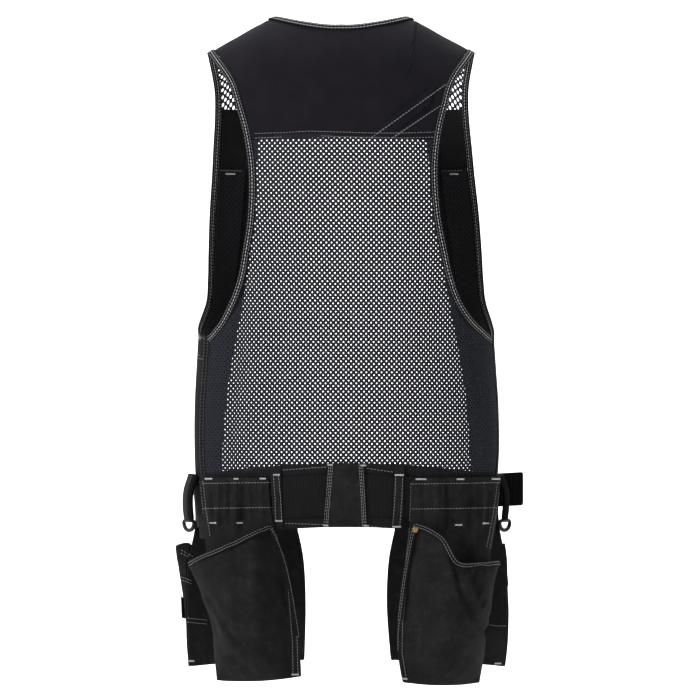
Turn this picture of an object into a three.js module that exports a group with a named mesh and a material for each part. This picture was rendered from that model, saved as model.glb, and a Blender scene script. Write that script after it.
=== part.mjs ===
// A sleeveless tool vest as it is worn: net back, cloth yoke, open front, a belt and four hanging pockets.
// Millimetres, +Z up. The back of the vest faces -Y and its wearer's right is +X.
// The origin is the middle of the neck opening at the height of the shoulders.
import * as THREE from "three";

// The vest's body.
const shoulderWidth = 316;
const neckWidth = 154;
const neckRise = 24;
const shoulderFall = 19;
const shoulderDepth = 120;
const shoulderLean = 6;
const chestWidth = 374;
const chestBack = 107;
const chestFront = 118;
const waistWidth = 360;
const waistBack = 93;
const waistFront = 106;
const shoulderToBelt = 498;
const armholeDepth = 356;
const sideSeamLeft = 64;
const sideSeamRight = 78;
const neckReach = 54;
const shoulderWrap = 22;
const yokeDepth = 127;
const yokeCurve = 4;
const frontNetDepth = 80;
const chestBandDepth = 151;
const frontOpening = 150;

// The cloth, its bound edges and the clearances between pieces.
const clothThickness = 1.6;
const netThickness = 1.4;
const linerGap = 0.7;
const bindingWidth = 9.5;
const bindingThickness = 2.8;
const frontTapeWidth = 14;
const seamGap = 0.4;
const curvedSeamGap = 1.1;
const layerGap = 0.5;
const tapeThickness = 0.9;

// The waistband, the belt and what is on them.
const waistbandHeight = 74;
const waistbandThickness = 3;
const beltDroop = 18;
const beltWidth = 48;
const beltThickness = 2.2;
const patchWidth = 41;
const patchFlare = 7;
const loopWidth = 11;
const loopLeft = 79;
const loopRight = 60;
const buckleWidth = 74;
const buckleHeight = 58;
const buckleThickness = 16;
const buckleCorner = 8;
const buckleBevel = 2;
const tailWidth = 40;
const tailLength = 72;
const tailRise = 17;
const tailStart = 166.5;
const tailLeaves = 128;
const sideStrapWidth = 25;
const sideStrapThickness = 4;
const sideStrapLength = 50;
const strapTurnLeft = 76;
const strapTurnRight = 89;
const ringWidth = 26;
const ringHeight = 12;
const ringWire = 4.4;
const ringTurn = 52;

// The hanging pockets.
const pocketTop = 17.5;
const pocketBottom = 252;
const rightPocketDrop = 4.5;
const frontPocketBottom = 246;
const sewnStrip = 0.085;
const pocketCloth = 1.8;
const rearPouchBulge = 46;
const frontPouchBulge = 40;
const gatherDepth = 3;
const pouchGap = 1;
const rivetDiameter = 8;
const rivetHeight = 2.5;
const rivetSeat = 1.1;
const toolPocketBulge = 15;
const flapThickness = 1.5;

// How square the body's sections and the shoulders' arch are: 2 is an ellipse.
const bodySquareness = 2.4;
const archSquareness = 2.2;
const degree = Math.PI / 180;
const quarterTurn = 90 * degree;

// Body sections from the shoulder to below the belt, as shares of the chest and waist sizes.
const bodyRows = [
  { down: 0.0, toWaist: 0.0, width: 1.0, back: 0.9, front: 0.86 },
  { down: 0.15, toWaist: 0.0, width: 1.0, back: 0.97, front: 0.95 },
  { down: 0.34, toWaist: 0.0, width: 1.0, back: 1.0, front: 1.0 },
  { down: 0.52, toWaist: 0.3, width: 0.98, back: 1.0, front: 1.0 },
  { down: 0.7, toWaist: 0.7, width: 0.955, back: 1.0, front: 1.0 },
  { down: 0.87, toWaist: 0.9, width: 0.99, back: 1.0, front: 1.0 },
  { down: 1.0, toWaist: 1.0, width: 0.995, back: 1.0, front: 1.0 },
  { down: 1.15, toWaist: 1.0, width: 0.955, back: 1.0, front: 1.0 },
  { down: 1.3, toWaist: 1.0, width: 0.95, back: 1.0, front: 1.0 },
];

// The top of the shoulders, from the neck's centre to the tip and past it.
const shoulderRows = [
  { across: 0.0, height: 1.28 },
  { across: 0.25, height: 1.21 },
  { across: 0.487, height: 1.0 },
  { across: 0.62, height: 0.78 },
  { across: 0.745, height: 0.51 },
  { across: 0.86, height: 0.3 },
  { across: 1.0, height: 0.0 },
  { across: 1.2, height: -0.4 },
];

// The armhole's edge, as angles round the body from the middle of the back.
const armholeRows = [
  { down: 0.05, back: 53.2, front: 126.8, toSeam: 0.0 },
  { down: 0.157, back: 42.1, front: 129.8, toSeam: 0.0 },
  { down: 0.25, back: 38.0, front: 129.7, toSeam: 0.0 },
  { down: 0.34, back: 35.2, front: 128.6, toSeam: 0.0 },
  { down: 0.458, back: 33.7, front: 127.0, toSeam: 0.0 },
  { down: 0.6, back: 35.0, front: 123.6, toSeam: 0.0 },
  { down: 0.72, back: 38.3, front: 120.6, toSeam: 0.0 },
  { down: 0.8, back: 41.2, front: 118.2, toSeam: 0.0 },
  { down: 0.888, back: 47.3, front: 112.5, toSeam: 0.0 },
  { down: 0.949, back: 51.5, front: 105.0, toSeam: 0.2 },
  { down: 0.98, back: 56.0, front: 96.0, toSeam: 0.55 },
  { down: 1.0, back: 60.0, front: 80.0, toSeam: 1.0 },
];

// The front opening's edge, from half the neck's width to its place at the belt.
const openingRows = [
  { down: -0.05, toBelt: 0.0 },
  { down: 0.03, toBelt: 0.09 },
  { down: 0.12, toBelt: 0.26 },
  { down: 0.33, toBelt: 0.4 },
  { down: 0.58, toBelt: 0.6 },
  { down: 0.8, toBelt: 0.88 },
  { down: 1.0, toBelt: 1.0 },
  { down: 1.2, toBelt: 1.0 },
];

// The yoke's diagonal tape: its two long edges, as shares of the shoulders' width and the yoke's depth.
const tapeRows = [
  { along: 0, upperAcross: 0.09, upperDown: 0.955, lowerAcross: 0.172, lowerDown: 0.955 },
  { along: 1, upperAcross: 0.345, upperDown: 0.49, lowerAcross: 0.318, lowerDown: 0.68 },
];

// A side strap's path, outward from the waistband and down as a share of the strap's length.
const strapRows = [
  { out: 2.2, down: 0.0 },
  { out: 3.8, down: 0.12 },
  { out: 7.0, down: 0.3 },
  { out: 8.6, down: 0.52 },
  { out: 8.4, down: 0.78 },
  { out: 7.2, down: 1.0 },
];

// A hanging pocket's two side edges: across in shares of half the waist's width, out in its depth's.
const rearLeftRows = [
  { down: 0.0, inner: 0.49, outer: 0.96, innerOut: 1.08, outerOut: 0.62 },
  { down: 0.24, inner: 0.44, outer: 0.92, innerOut: 1.08, outerOut: 0.62 },
  { down: 0.4, inner: 0.39, outer: 0.895, innerOut: 1.1, outerOut: 0.66 },
  { down: 0.6, inner: 0.34, outer: 0.87, innerOut: 1.12, outerOut: 0.72 },
  { down: 0.8, inner: 0.3, outer: 0.85, innerOut: 1.12, outerOut: 0.76 },
  { down: 1.0, inner: 0.285, outer: 0.82, innerOut: 1.12, outerOut: 0.8 },
];
const rearRightRows = [
  { down: 0.0, inner: 0.415, outer: 1.0, innerOut: 1.08, outerOut: 0.3 },
  { down: 0.24, inner: 0.415, outer: 0.97, innerOut: 1.08, outerOut: 0.34 },
  { down: 0.4, inner: 0.375, outer: 0.93, innerOut: 1.1, outerOut: 0.42 },
  { down: 0.6, inner: 0.34, outer: 0.9, innerOut: 1.12, outerOut: 0.52 },
  { down: 0.8, inner: 0.318, outer: 0.885, innerOut: 1.12, outerOut: 0.56 },
  { down: 1.0, inner: 0.36, outer: 0.855, innerOut: 1.12, outerOut: 0.6 },
];
const frontLeftRows = [
  { down: 0.0, inner: 0.36, outer: 1.0, innerOut: 1.07, outerOut: 0.34 },
  { down: 0.24, inner: 0.33, outer: 0.99, innerOut: 1.07, outerOut: 0.34 },
  { down: 0.4, inner: 0.29, outer: 1.04, innerOut: 1.08, outerOut: 0.33 },
  { down: 0.7, inner: 0.27, outer: 1.05, innerOut: 1.1, outerOut: 0.3 },
  { down: 1.0, inner: 0.28, outer: 1.03, innerOut: 1.1, outerOut: 0.3 },
];
const frontRightRows = [
  { down: 0.0, inner: 0.36, outer: 1.02, innerOut: 1.07, outerOut: 0.34 },
  { down: 0.24, inner: 0.33, outer: 1.02, innerOut: 1.07, outerOut: 0.34 },
  { down: 0.4, inner: 0.29, outer: 1.045, innerOut: 1.08, outerOut: 0.33 },
  { down: 0.7, inner: 0.27, outer: 1.065, innerOut: 1.1, outerOut: 0.3 },
  { down: 1.0, inner: 0.3, outer: 1.04, innerOut: 1.1, outerOut: 0.3 },
];

// A pouch's mouth from its inner to its outer edge, as shares of the pocket's height.
const straightMouth = [
  { across: 0.0, down: 0.232 },
  { across: 0.25, down: 0.299 },
  { across: 0.5, down: 0.363 },
  { across: 0.75, down: 0.415 },
  { across: 1.0, down: 0.42 },
];
const curvedMouth = [
  { across: 0.0, down: 0.22 },
  { across: 0.07, down: 0.232 },
  { across: 0.143, down: 0.262 },
  { across: 0.214, down: 0.3 },
  { across: 0.286, down: 0.352 },
  { across: 0.357, down: 0.4 },
  { across: 0.43, down: 0.416 },
  { across: 0.7, down: 0.406 },
  { across: 1.0, down: 0.412 },
];
const levelMouth = [
  { across: 0.0, down: 0.36 },
  { across: 0.5, down: 0.4 },
  { across: 1.0, down: 0.36 },
];

// How far a pouch stands out on its way down, and how far its outer side swings past the panel's edge.
const pouchRows = [
  { down: 0.0, bulge: 0.92, swing: 1.0 },
  { down: 0.25, bulge: 1.0, swing: 0.5 },
  { down: 0.55, bulge: 0.92, swing: 0.12 },
  { down: 0.8, bulge: 0.7, swing: 0.0 },
  { down: 0.94, bulge: 0.4, swing: 0.0 },
  { down: 1.0, bulge: 0.0, swing: 0.0 },
];

// The four pockets: the angle their panel reaches at the belt, and their pouch's mouth, bulge and fold.
const rearHeight = pocketBottom - pocketTop;
const frontHeight = frontPocketBottom - pocketTop;
const pockets = {
  rear_left: {
    side: -1,
    front: false,
    rows: rearLeftRows,
    bow: 8,
    height: rearHeight,
    slant: 0.03,
    turn: 63,
    gathers: 3,
    mouth: straightMouth,
    from: 0,
    span: 1,
    swing: 0.3,
    bulge: rearPouchBulge,
    fold: { from: 1.05, slope: -0.45, width: 0.09, depth: 6 },
  },
  rear_right: {
    side: 1,
    front: false,
    rows: rearRightRows,
    bow: 18,
    height: rearHeight + rightPocketDrop,
    slant: 0.02,
    turn: 76,
    gathers: 3,
    mouth: curvedMouth,
    from: 0,
    span: 1,
    swing: 0.1,
    bulge: rearPouchBulge,
    fold: { from: 0.48, slope: 0.72, width: 0.08, depth: 15 },
  },
  front_left: {
    side: -1,
    front: true,
    rows: frontLeftRows,
    bow: 26,
    height: frontHeight,
    slant: 0,
    turn: 99,
    gathers: 2,
    mouth: levelMouth,
    from: 0,
    span: 0.76,
    swing: 0,
    bulge: frontPouchBulge,
    fold: { from: 0, slope: 0, width: 1, depth: 0 },
  },
  front_right: {
    side: 1,
    front: true,
    rows: frontRightRows,
    bow: 26,
    height: frontHeight,
    slant: 0,
    turn: 99,
    gathers: 2,
    mouth: levelMouth,
    from: 0,
    span: 1,
    swing: 0,
    bulge: frontPouchBulge,
    fold: { from: 0, slope: 0, width: 1, depth: 0 },
  },
};
const toolPocket = {
  ...pockets.front_left,
  from: 0.79,
  span: 0.21,
  swing: 0.6,
  bulge: toolPocketBulge,
};

function mix(a, b, share) {
  return a + (b - a) * share;
}

function clamp(value, low, high) {
  return Math.min(Math.max(value, low), high);
}

function ease(share) {
  const t = clamp(share, 0, 1);
  return t * t * (3 - 2 * t);
}

// A smooth curve through one column of a table, straight past its ends.
function read(rows, key, at, name) {
  const last = rows.length - 1;
  let i = 0;
  while (i < last - 1 && at > rows[i + 1][key]) i += 1;
  const slope = (k) => {
    const a = rows[Math.max(k - 1, 0)];
    const b = rows[Math.min(k + 1, last)];
    return (b[name] - a[name]) / (b[key] - a[key]);
  };
  const span = rows[i + 1][key] - rows[i][key];
  const t = clamp((at - rows[i][key]) / span, 0, 1);
  const t2 = t * t;
  const t3 = t2 * t;
  const inside =
    rows[i][name] * (2 * t3 - 3 * t2 + 1) +
    rows[i + 1][name] * (3 * t2 - 2 * t3) +
    slope(i) * span * (t3 - 2 * t2 + t) +
    slope(i + 1) * span * (t3 - t2);
  const past = at - clamp(at, rows[0][key], rows[last][key]);
  return inside + past * slope(i + (past > 0 ? 1 : 0));
}

// The half width and the two depths of the body's section at a height.
function bodySize(z) {
  const down = -z / shoulderToBelt;
  const toWaist = read(bodyRows, "down", down, "toWaist");
  return {
    side: (mix(chestWidth, waistWidth, toWaist) / 2) * read(bodyRows, "down", down, "width"),
    back: mix(chestBack, waistBack, toWaist) * read(bodyRows, "down", down, "back"),
    front: mix(chestFront, waistFront, toWaist) * read(bodyRows, "down", down, "front"),
  };
}

function lean(z) {
  return -shoulderLean * ease(1 + z / armholeDepth);
}

function shoulderHeight(x) {
  const across = Math.min(Math.abs(x) / (shoulderWidth / 2), 1.2);
  return mix(-shoulderFall, neckRise, read(shoulderRows, "across", across, "height"));
}

function squareRadius(angle) {
  const s = Math.abs(Math.sin(angle)) ** bodySquareness;
  const c = Math.abs(Math.cos(angle)) ** bodySquareness;
  return (s + c) ** (-1 / bodySquareness);
}

// A point of the body by its angle from the middle of the back and its height.
function onBody(angle, z) {
  const size = bodySize(z);
  const r = squareRadius(angle);
  const x = size.side * Math.sin(angle) * r;
  const left = clamp((shoulderHeight(x) - z) / shoulderDepth, 0, 1);
  const arch = (1 - (1 - left) ** archSquareness) ** (1 / archSquareness);
  const depth = Math.cos(angle) > 0 ? size.back : size.front;
  return new THREE.Vector3(x + lean(z), -depth * Math.cos(angle) * r * arch, z);
}

// A point of the shoulders by its place across and its reach from their top, over the back or, below 0, the front.
function onShoulder(x, reach) {
  const turn = Math.min(Math.abs(reach) / shoulderDepth, 1) * quarterTurn;
  const arched = shoulderDepth * (1 - Math.cos(turn) ** (2 / archSquareness));
  const drop = Math.abs(reach) < shoulderDepth ? arched : Math.abs(reach);
  const z = shoulderHeight(x) - drop;
  const size = bodySize(z);
  const across = Math.min(Math.abs(x) / size.side, 1);
  const round = (1 - across ** bodySquareness) ** (1 / bodySquareness);
  const depth = (reach > 0 ? size.back : size.front) * round * Math.sin(turn) ** (2 / archSquareness);
  return new THREE.Vector3(x + lean(z), -Math.sign(reach) * depth, z);
}

// The reach of a point, without its sign, from its place across and its height.
function reachAt(x, z) {
  const drop = Math.max(shoulderHeight(x) - z, 0);
  if (drop > shoulderDepth) return drop;
  return (shoulderDepth * Math.acos((1 - drop / shoulderDepth) ** (archSquareness / 2))) / quarterTurn;
}

function acrossAt(angle, z) {
  return bodySize(z).side * Math.sin(angle) * squareRadius(angle);
}

// The angle of a point of the body, without its side, from its place across and its height.
function angleAt(x, z, front) {
  const across = clamp(Math.abs(x) / bodySize(z).side, 0, 1);
  const round = (1 - across ** bodySquareness) ** (1 / bodySquareness);
  const angle = Math.atan2(across, round);
  return front ? Math.PI - angle : angle;
}

function bodyNormal(angle, z) {
  const turn = 0.01;
  const round = onBody(angle + turn, z).sub(onBody(angle - turn, z));
  const down = onBody(angle, z - 1).sub(onBody(angle, z + 1));
  return down.cross(round).normalize();
}

function shoulderNormal(x, reach) {
  const alongX = onShoulder(x + 1, reach).sub(onShoulder(x - 1, reach));
  const alongReach = onShoulder(x, reach + 1).sub(onShoulder(x, reach - 1));
  return alongReach.cross(alongX).normalize();
}

// A closed shell round a grid of points: rows of even quads with one outer and one inner face.
const core = new THREE.Vector3(0, 0, -40);

function gridPlaces(count) {
  if (Array.isArray(count)) return count;
  return Array.from({ length: count + 1 }, (_, i) => i / count);
}

function outwardNormal(point, u, v, sign) {
  const step = 1e-3;
  const u0 = Math.max(u - step, 0);
  const u1 = Math.min(u + step, 1);
  const v0 = Math.max(v - step, 0);
  const v1 = Math.min(v + step, 1);
  const alongU = point(u1, v).sub(point(u0, v));
  const alongV = point(u, v1).sub(point(u, v0));
  return alongV.cross(alongU).normalize().multiplyScalar(sign);
}

function sheet(point, columns, rows, inner, outer) {
  const us = gridPlaces(columns);
  const vs = gridPlaces(rows);
  const middle = point(0.5, 0.5);
  const away = middle.clone().sub(core.clone().setZ(Math.min(core.z, middle.z)));
  const sign = outwardNormal(point, 0.5, 0.5, 1).dot(away) < 0 ? -1 : 1;
  const wide = us.length;
  const tall = vs.length;
  const offset = (o, u, v) => (typeof o === "function" ? o(u, v) : o);
  const layers = [outer, inner].map((o) =>
    vs.flatMap((v) =>
      us.map((u) => point(u, v).addScaledVector(outwardNormal(point, u, v, sign), offset(o, u, v))),
    ),
  );
  const points = layers.flat();
  const below = wide * tall;
  const index = [];
  const triangle = (a, b, c) => index.push(...(sign > 0 ? [a, b, c] : [a, c, b]));
  for (let j = 0; j + 1 < tall; j += 1) {
    for (let i = 0; i + 1 < wide; i += 1) {
      const a = j * wide + i;
      const b = a + wide;
      triangle(a, b, a + 1);
      triangle(a + 1, b, b + 1);
      triangle(below + a, below + a + 1, below + b);
      triangle(below + a + 1, below + b + 1, below + b);
    }
  }
  const rim = [];
  for (let j = 0; j < tall; j += 1) rim.push(j * wide);
  for (let i = 1; i < wide; i += 1) rim.push((tall - 1) * wide + i);
  for (let j = tall - 2; j >= 0; j -= 1) rim.push(j * wide + wide - 1);
  for (let i = wide - 2; i > 0; i -= 1) rim.push(i);
  rim.forEach((a, k) => {
    const b = rim[(k + 1) % rim.length];
    triangle(a, below + a, below + b);
    triangle(a, below + b, b);
  });
  return shape(points, index);
}

function shape(points, index) {
  const geometry = new THREE.BufferGeometry().setFromPoints(points);
  geometry.setIndex(index);
  geometry.computeVertexNormals();
  return geometry;
}

// A closed body through a row of like sections, each a ring of points.
function loft(sections, closed) {
  const sides = sections[0].length;
  const count = sections.length;
  const points = sections.flat();
  let index = [];
  const steps = closed ? count : count - 1;
  for (let k = 0; k < steps; k += 1) {
    for (let i = 0; i < sides; i += 1) {
      const a = k * sides + i;
      const b = k * sides + ((i + 1) % sides);
      const c = ((k + 1) % count) * sides + i;
      const d = ((k + 1) % count) * sides + ((i + 1) % sides);
      index.push(a, b, c, b, d, c);
    }
  }
  if (!closed) {
    const end = (count - 1) * sides;
    for (let i = 1; i + 1 < sides; i += 1) index.push(0, i + 1, i, end, end + i, end + i + 1);
  }
  let volume = 0;
  for (let i = 0; i < index.length; i += 3) {
    const [a, b, c] = index.slice(i, i + 3).map((k) => points[k]);
    volume += a.dot(b.clone().cross(c));
  }
  if (volume < 0) index = index.reverse();
  return shape(points, index);
}

// A band with a rectangular section: each place has a point, its surface's normal and the way across.
function band(places, from, to, inner, outer, closed = false) {
  const corner = (place, across, out) =>
    place.point.clone().addScaledVector(place.across, across).addScaledVector(place.normal, out);
  const sections = places.map((place) => [
    corner(place, from, inner),
    corner(place, to, inner),
    corner(place, to, outer),
    corner(place, from, outer),
  ]);
  return loft(sections, closed);
}

// The armhole: one loop up the back, over the shoulder and down the front.
function seamAngle(side) {
  return (side < 0 ? sideSeamLeft : sideSeamRight) * degree;
}

function armholeAngle(side, down, which) {
  const share = read(armholeRows, "down", down, "toSeam");
  return mix(read(armholeRows, "down", down, which) * degree, seamAngle(side), share);
}

function armholePlace(side, turn) {
  const which = turn < 1 ? "back" : "front";
  const crowding = 1.6;
  const down = mix(armholeRows[0].down, 1, Math.abs(turn - 1) ** crowding);
  const z = -down * armholeDepth;
  const angle = side * armholeAngle(side, down, which);
  const x = acrossAt(angle, z);
  const reach = which === "back" ? reachAt(x, z) : -reachAt(x, z);
  const arched = Math.abs(reach) < shoulderDepth;
  return {
    point: arched ? onShoulder(x, reach) : onBody(angle, z),
    normal: arched ? shoulderNormal(x, reach) : bodyNormal(angle, z),
  };
}

function armholeLoop(side, count) {
  const places = Array.from({ length: count }, (_, k) => armholePlace(side, (2 * k) / count));
  places.forEach((place, k) => {
    const before = places[(k + count - 1) % count].point;
    const after = places[(k + 1) % count].point;
    place.across = after.clone().sub(before).cross(place.normal).normalize();
    const toMiddle = new THREE.Vector3(side * chestWidth, 0, -armholeDepth / 2).sub(place.point);
    if (place.across.dot(toMiddle) > 0) place.across.negate();
  });
  return places;
}

// The cloth's own edge beside an armhole, inside its binding, as an angle for each height.
function clothEdge(side, which) {
  const samples = [];
  const count = 60;
  const loop = armholeLoop(side, 2 * count);
  for (let k = count; k >= 0; k -= 1) {
    const place = loop[which === "back" ? k : (2 * count - k) % (2 * count)];
    const inside = place.point.clone().addScaledVector(place.across, bindingWidth + curvedSeamGap);
    const size = bodySize(inside.z);
    const across = (inside.x - lean(inside.z)) / size.side;
    const out = inside.y / (which === "back" ? size.back : size.front);
    const arched = shoulderHeight(inside.x) - inside.z < shoulderDepth;
    const angle = arched
      ? angleAt(across * size.side, inside.z, which === "front")
      : Math.atan2(Math.abs(across), -out);
    samples.push({ z: inside.z, angle });
  }
  samples.sort((a, b) => b.z - a.z);
  const seam = seamAngle(side);
  const halfGap = seamGap / 2 / waistBack;
  return (z) => {
    let i = 0;
    while (i < samples.length - 2 && z < samples[i + 1].z) i += 1;
    const a = samples[i];
    const b = samples[i + 1];
    const angle = mix(a.angle, b.angle, Math.max((z - a.z) / (b.z - a.z || 1), 0));
    return which === "back" ? Math.min(angle, seam - halfGap) : Math.max(angle, seam + halfGap);
  };
}

const clothEdges = {
  left: { side: -1, back: clothEdge(-1, "back"), front: clothEdge(-1, "front") },
  right: { side: 1, back: clothEdge(1, "back"), front: clothEdge(1, "front") },
};

// The waistband's top edge droops towards the sides and the front.
function beltTop(angle) {
  const frontDroop = 0.3 * beltDroop * ease(-Math.cos(angle));
  return -shoulderToBelt - beltDroop * Math.sin(angle) ** 2 - frontDroop;
}

function openingX(z) {
  return mix(neckWidth / 2, frontOpening, read(openingRows, "down", -z / shoulderToBelt, "toBelt"));
}

function yokeSeam(x) {
  return -yokeDepth + yokeCurve * (1 - (x / (chestWidth / 3)) ** 2);
}

// The place across of an edge given by its height, at a reach over the shoulder.
function settle(xAt, reach) {
  let x = shoulderWidth / 3;
  for (let pass = 0; pass < 6; pass += 1) x = xAt(onShoulder(x, reach).z);
  return x;
}

// The neck's edge in half, from the middle of the back to the front seam, moved out by an inset.
const neckRound = 0.8;

function neckEdge(share, inset) {
  const turn = Math.min(share / neckRound, 1) * quarterTurn;
  const stretch = onShoulder(0, neckReach + 1).distanceTo(onShoulder(0, neckReach - 1)) / 2;
  const past = clamp((share - neckRound) / (1 - neckRound), 0, 1);
  return {
    x: (neckWidth / 2 + inset) * Math.sin(turn),
    reach: (neckReach + inset / stretch) * Math.cos(turn) - shoulderWrap * past,
  };
}

// The vest's pieces.
const vest = new THREE.Group();

function add(name, geometry, colour, roughness, metalness = 0) {
  const material = new THREE.MeshStandardMaterial({ color: colour, roughness, metalness });
  material.name = name;
  const mesh = new THREE.Mesh(geometry, material);
  mesh.name = name;
  vest.add(mesh);
}

const yokeBlack = 0x232226;
const netBlack = 0x1c1c20;
const bindingBlack = 0x1a1a1d;
const pocketBlack = 0x252527;
const webbingBlack = 0x1a191a;
const plasticBlack = 0x141415;
const brass = 0xa58b4f;
const halfCloth = clothThickness / 2;
const halfNet = netThickness / 2;
const halfBinding = bindingThickness / 2;
const halfPocket = pocketCloth / 2;

// The back yoke, over both shoulders to a seam just in front of them.
function backYoke() {
  const neckPart = 0.55;
  const inset = bindingWidth + curvedSeamGap;
  const side = (edges, reach) => settle((z) => acrossAt((reach > 0 ? edges.back : edges.front)(z), z), reach);
  const place = (u, v) => {
    const across = 2 * u - 1;
    const edges = across < 0 ? clothEdges.left : clothEdges.right;
    const k = Math.abs(across);
    const lowX = acrossAt(edges.back(-yokeDepth), -yokeDepth);
    const footX = k * lowX;
    const foot = reachAt(footX, yokeSeam(footX) + seamGap / 2);
    const corner = side(edges, -shoulderWrap);
    const neck = neckEdge(Math.min(k / neckPart, 1), inset);
    const past = clamp((k - neckPart) / (1 - neckPart), 0, 1);
    const startX = mix(neck.x, corner, past);
    const reach = mix(neck.reach, foot, v);
    const sideReach = mix(-shoulderWrap, reachAt(lowX, yokeSeam(lowX) + seamGap / 2), v);
    const pull = k ** 2.5;
    const late = v ** (1 + 2 * Math.min(k / neckPart, (1 - k) / (1 - neckPart)));
    const x = mix(startX, footX, late) + pull * (side(edges, sideReach) - mix(corner, lowX, v));
    return [Math.sign(across) * x, reach];
  };
  return sheet((u, v) => onShoulder(...place(u, v)), 26, 9, -halfCloth, halfCloth);
}
add("back_yoke", backYoke(), yokeBlack, 0.9);

// The bound neck, from one front seam round the back to the other.
function neckBinding() {
  const stepsEachSide = 15;
  const places = Array.from({ length: 2 * stepsEachSide + 1 }, (_, k) => {
    const share = (k - stepsEachSide) / stepsEachSide;
    const { x, reach } = neckEdge(Math.abs(share), 0);
    const signed = share < 0 ? -x : x;
    return { point: onShoulder(signed, reach), normal: shoulderNormal(signed, reach) };
  });
  places.forEach((place, k) => {
    const before = places[Math.max(k - 1, 0)].point;
    const after = places[Math.min(k + 1, 2 * stepsEachSide)].point;
    place.across = after.clone().sub(before).cross(place.normal).normalize();
  });
  return band(places, 0, bindingWidth, -halfBinding, halfBinding);
}
add("neck_binding", neckBinding(), bindingBlack, 0.88);

// The bare strip sewn across the right of the yoke, over its lower corner.
function yokeTape() {
  const point = (u, v) => {
    const column = (edge, name) => read(tapeRows, "along", u, edge + name);
    const x = shoulderWidth * mix(column("upper", "Across"), column("lower", "Across"), v);
    const z = -yokeDepth * mix(column("upper", "Down"), column("lower", "Down"), v);
    return onShoulder(x, reachAt(x, z));
  };
  const inner = halfCloth + layerGap;
  return sheet(point, 10, 2, inner, inner + tapeThickness);
}
add("yoke_tape", yokeTape(), bindingBlack, 0.85);

// The net back, from the yoke's seam to the waistband.
function backNet() {
  const point = (u, v) => {
    const across = 2 * u - 1;
    const edges = across < 0 ? clothEdges.left : clothEdges.right;
    const guess = mix(-yokeDepth, -shoulderToBelt, v);
    const angle = across * edges.back(guess);
    const top = yokeSeam(acrossAt(angle, guess)) - seamGap / 2;
    const z = mix(top, beltTop(angle) + seamGap, v);
    return onBody(across * edges.back(z), z);
  };
  const rows = [0, 0.09, 0.18, 0.27, 0.36, 0.45, 0.52, 0.57, 0.6, 0.63, 0.66, 0.72, 0.81, 0.9, 1];
  return sheet(point, 18, rows, -halfNet, halfNet);
}
add("back_net", backNet(), netBlack, 0.85);

// What a piece of the front spans: from the opening's tape to the armhole or the side seam.
function frontSpan(edges, z) {
  const x = openingX(z) + frontTapeWidth + curvedSeamGap;
  return { inner: angleAt(x, z, true), outer: edges.front(z) };
}

function frontSheet(edges, topZ, footZ) {
  return (u, v) => {
    const guess = frontSpan(edges, mix(topZ(Math.PI), footZ(Math.PI), v));
    const angle = mix(guess.inner, guess.outer, u);
    const z = mix(topZ(angle), footZ(angle), v);
    const span = frontSpan(edges, z);
    return onBody(edges.side * mix(span.inner, span.outer, u), z);
  };
}

for (const [hand, edges] of Object.entries(clothEdges)) {
  const side = edges.side;
  const binding = band(armholeLoop(side, 56), 0, bindingWidth, -halfBinding, halfBinding, true);
  add(`armhole_binding_${hand}`, binding, bindingBlack, 0.88);

  const netTop = (u, v) => {
    const foot = -frontNetDepth + seamGap / 2;
    const span = frontSpan(edges, foot);
    const footX = mix(acrossAt(span.inner, foot), acrossAt(span.outer, foot), u);
    const reach = mix(-shoulderWrap - seamGap, -reachAt(footX, foot), v);
    const from = settle((z) => openingX(z) + frontTapeWidth + curvedSeamGap, reach);
    const to = settle((z) => acrossAt(edges.front(z), z), reach);
    return onShoulder(side * mix(mix(from, to, u), footX, v ** 4), reach);
  };
  add(`front_net_top_${hand}`, sheet(netTop, 5, 7, -halfNet, halfNet), netBlack, 0.85);

  const bandTop = () => -frontNetDepth - seamGap / 2;
  const bandFoot = () => -chestBandDepth;
  const chest = frontSheet(edges, bandTop, bandFoot);
  add(`chest_band_${hand}`, sheet(chest, 5, 5, -halfCloth, halfCloth), bindingBlack, 0.9);

  const panelTop = () => -chestBandDepth - seamGap;
  const panelFoot = (angle) => beltTop(angle) + seamGap;
  const rows = [0, 0.11, 0.22, 0.33, 0.42, 0.48, 0.515, 0.54, 0.57, 0.63, 0.75, 0.87, 1];
  const panel = frontSheet(edges, panelTop, panelFoot);
  add(`front_panel_${hand}`, sheet(panel, 7, rows, -halfCloth, halfCloth), yokeBlack, 0.9);
  const linerOuter = -halfCloth - linerGap;
  add(`front_liner_${hand}`, sheet(panel, 7, rows, linerOuter - netThickness, linerOuter), netBlack, 0.85);

  const tape = (u, v) => {
    const footX = frontOpening + frontTapeWidth * u;
    const foot = beltTop(angleAt(footX, -shoulderToBelt, true)) + seamGap;
    const reach = mix(-shoulderWrap - seamGap, -reachAt(footX, foot), v);
    const x = settle((z) => openingX(z) + frontTapeWidth * u, reach);
    return onShoulder(side * x, reach);
  };
  const tapePlaces = [0, 0.03, 0.06, 0.1, 0.15, 0.21, 0.28, 0.37, 0.47, 0.54, 0.61, 0.7, 0.8, 0.9, 1];
  add(`front_edge_${hand}`, sheet(tape, 2, tapePlaces, -halfBinding, halfBinding), bindingBlack, 0.88);
}

// Layers round the waist meet at the same angles, so that they nest.
const angleStep = 7.5 * degree;

function anglePlaces(from, to) {
  const inside = [];
  for (let k = Math.ceil(from / angleStep); k * angleStep < to; k += 1) {
    const share = (k * angleStep - from) / (to - from);
    if (share > 0.02 && share < 0.98) inside.push(share);
  }
  return [0, ...inside, 1];
}

const webbingInner = waistbandThickness / 2 + layerGap;
const webbingOuter = webbingInner + beltThickness;
const overBelt = webbingOuter + layerGap;
const webbingTop = (waistbandHeight - beltWidth) / 2;
const beltMiddle = waistbandHeight / 2;

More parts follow.
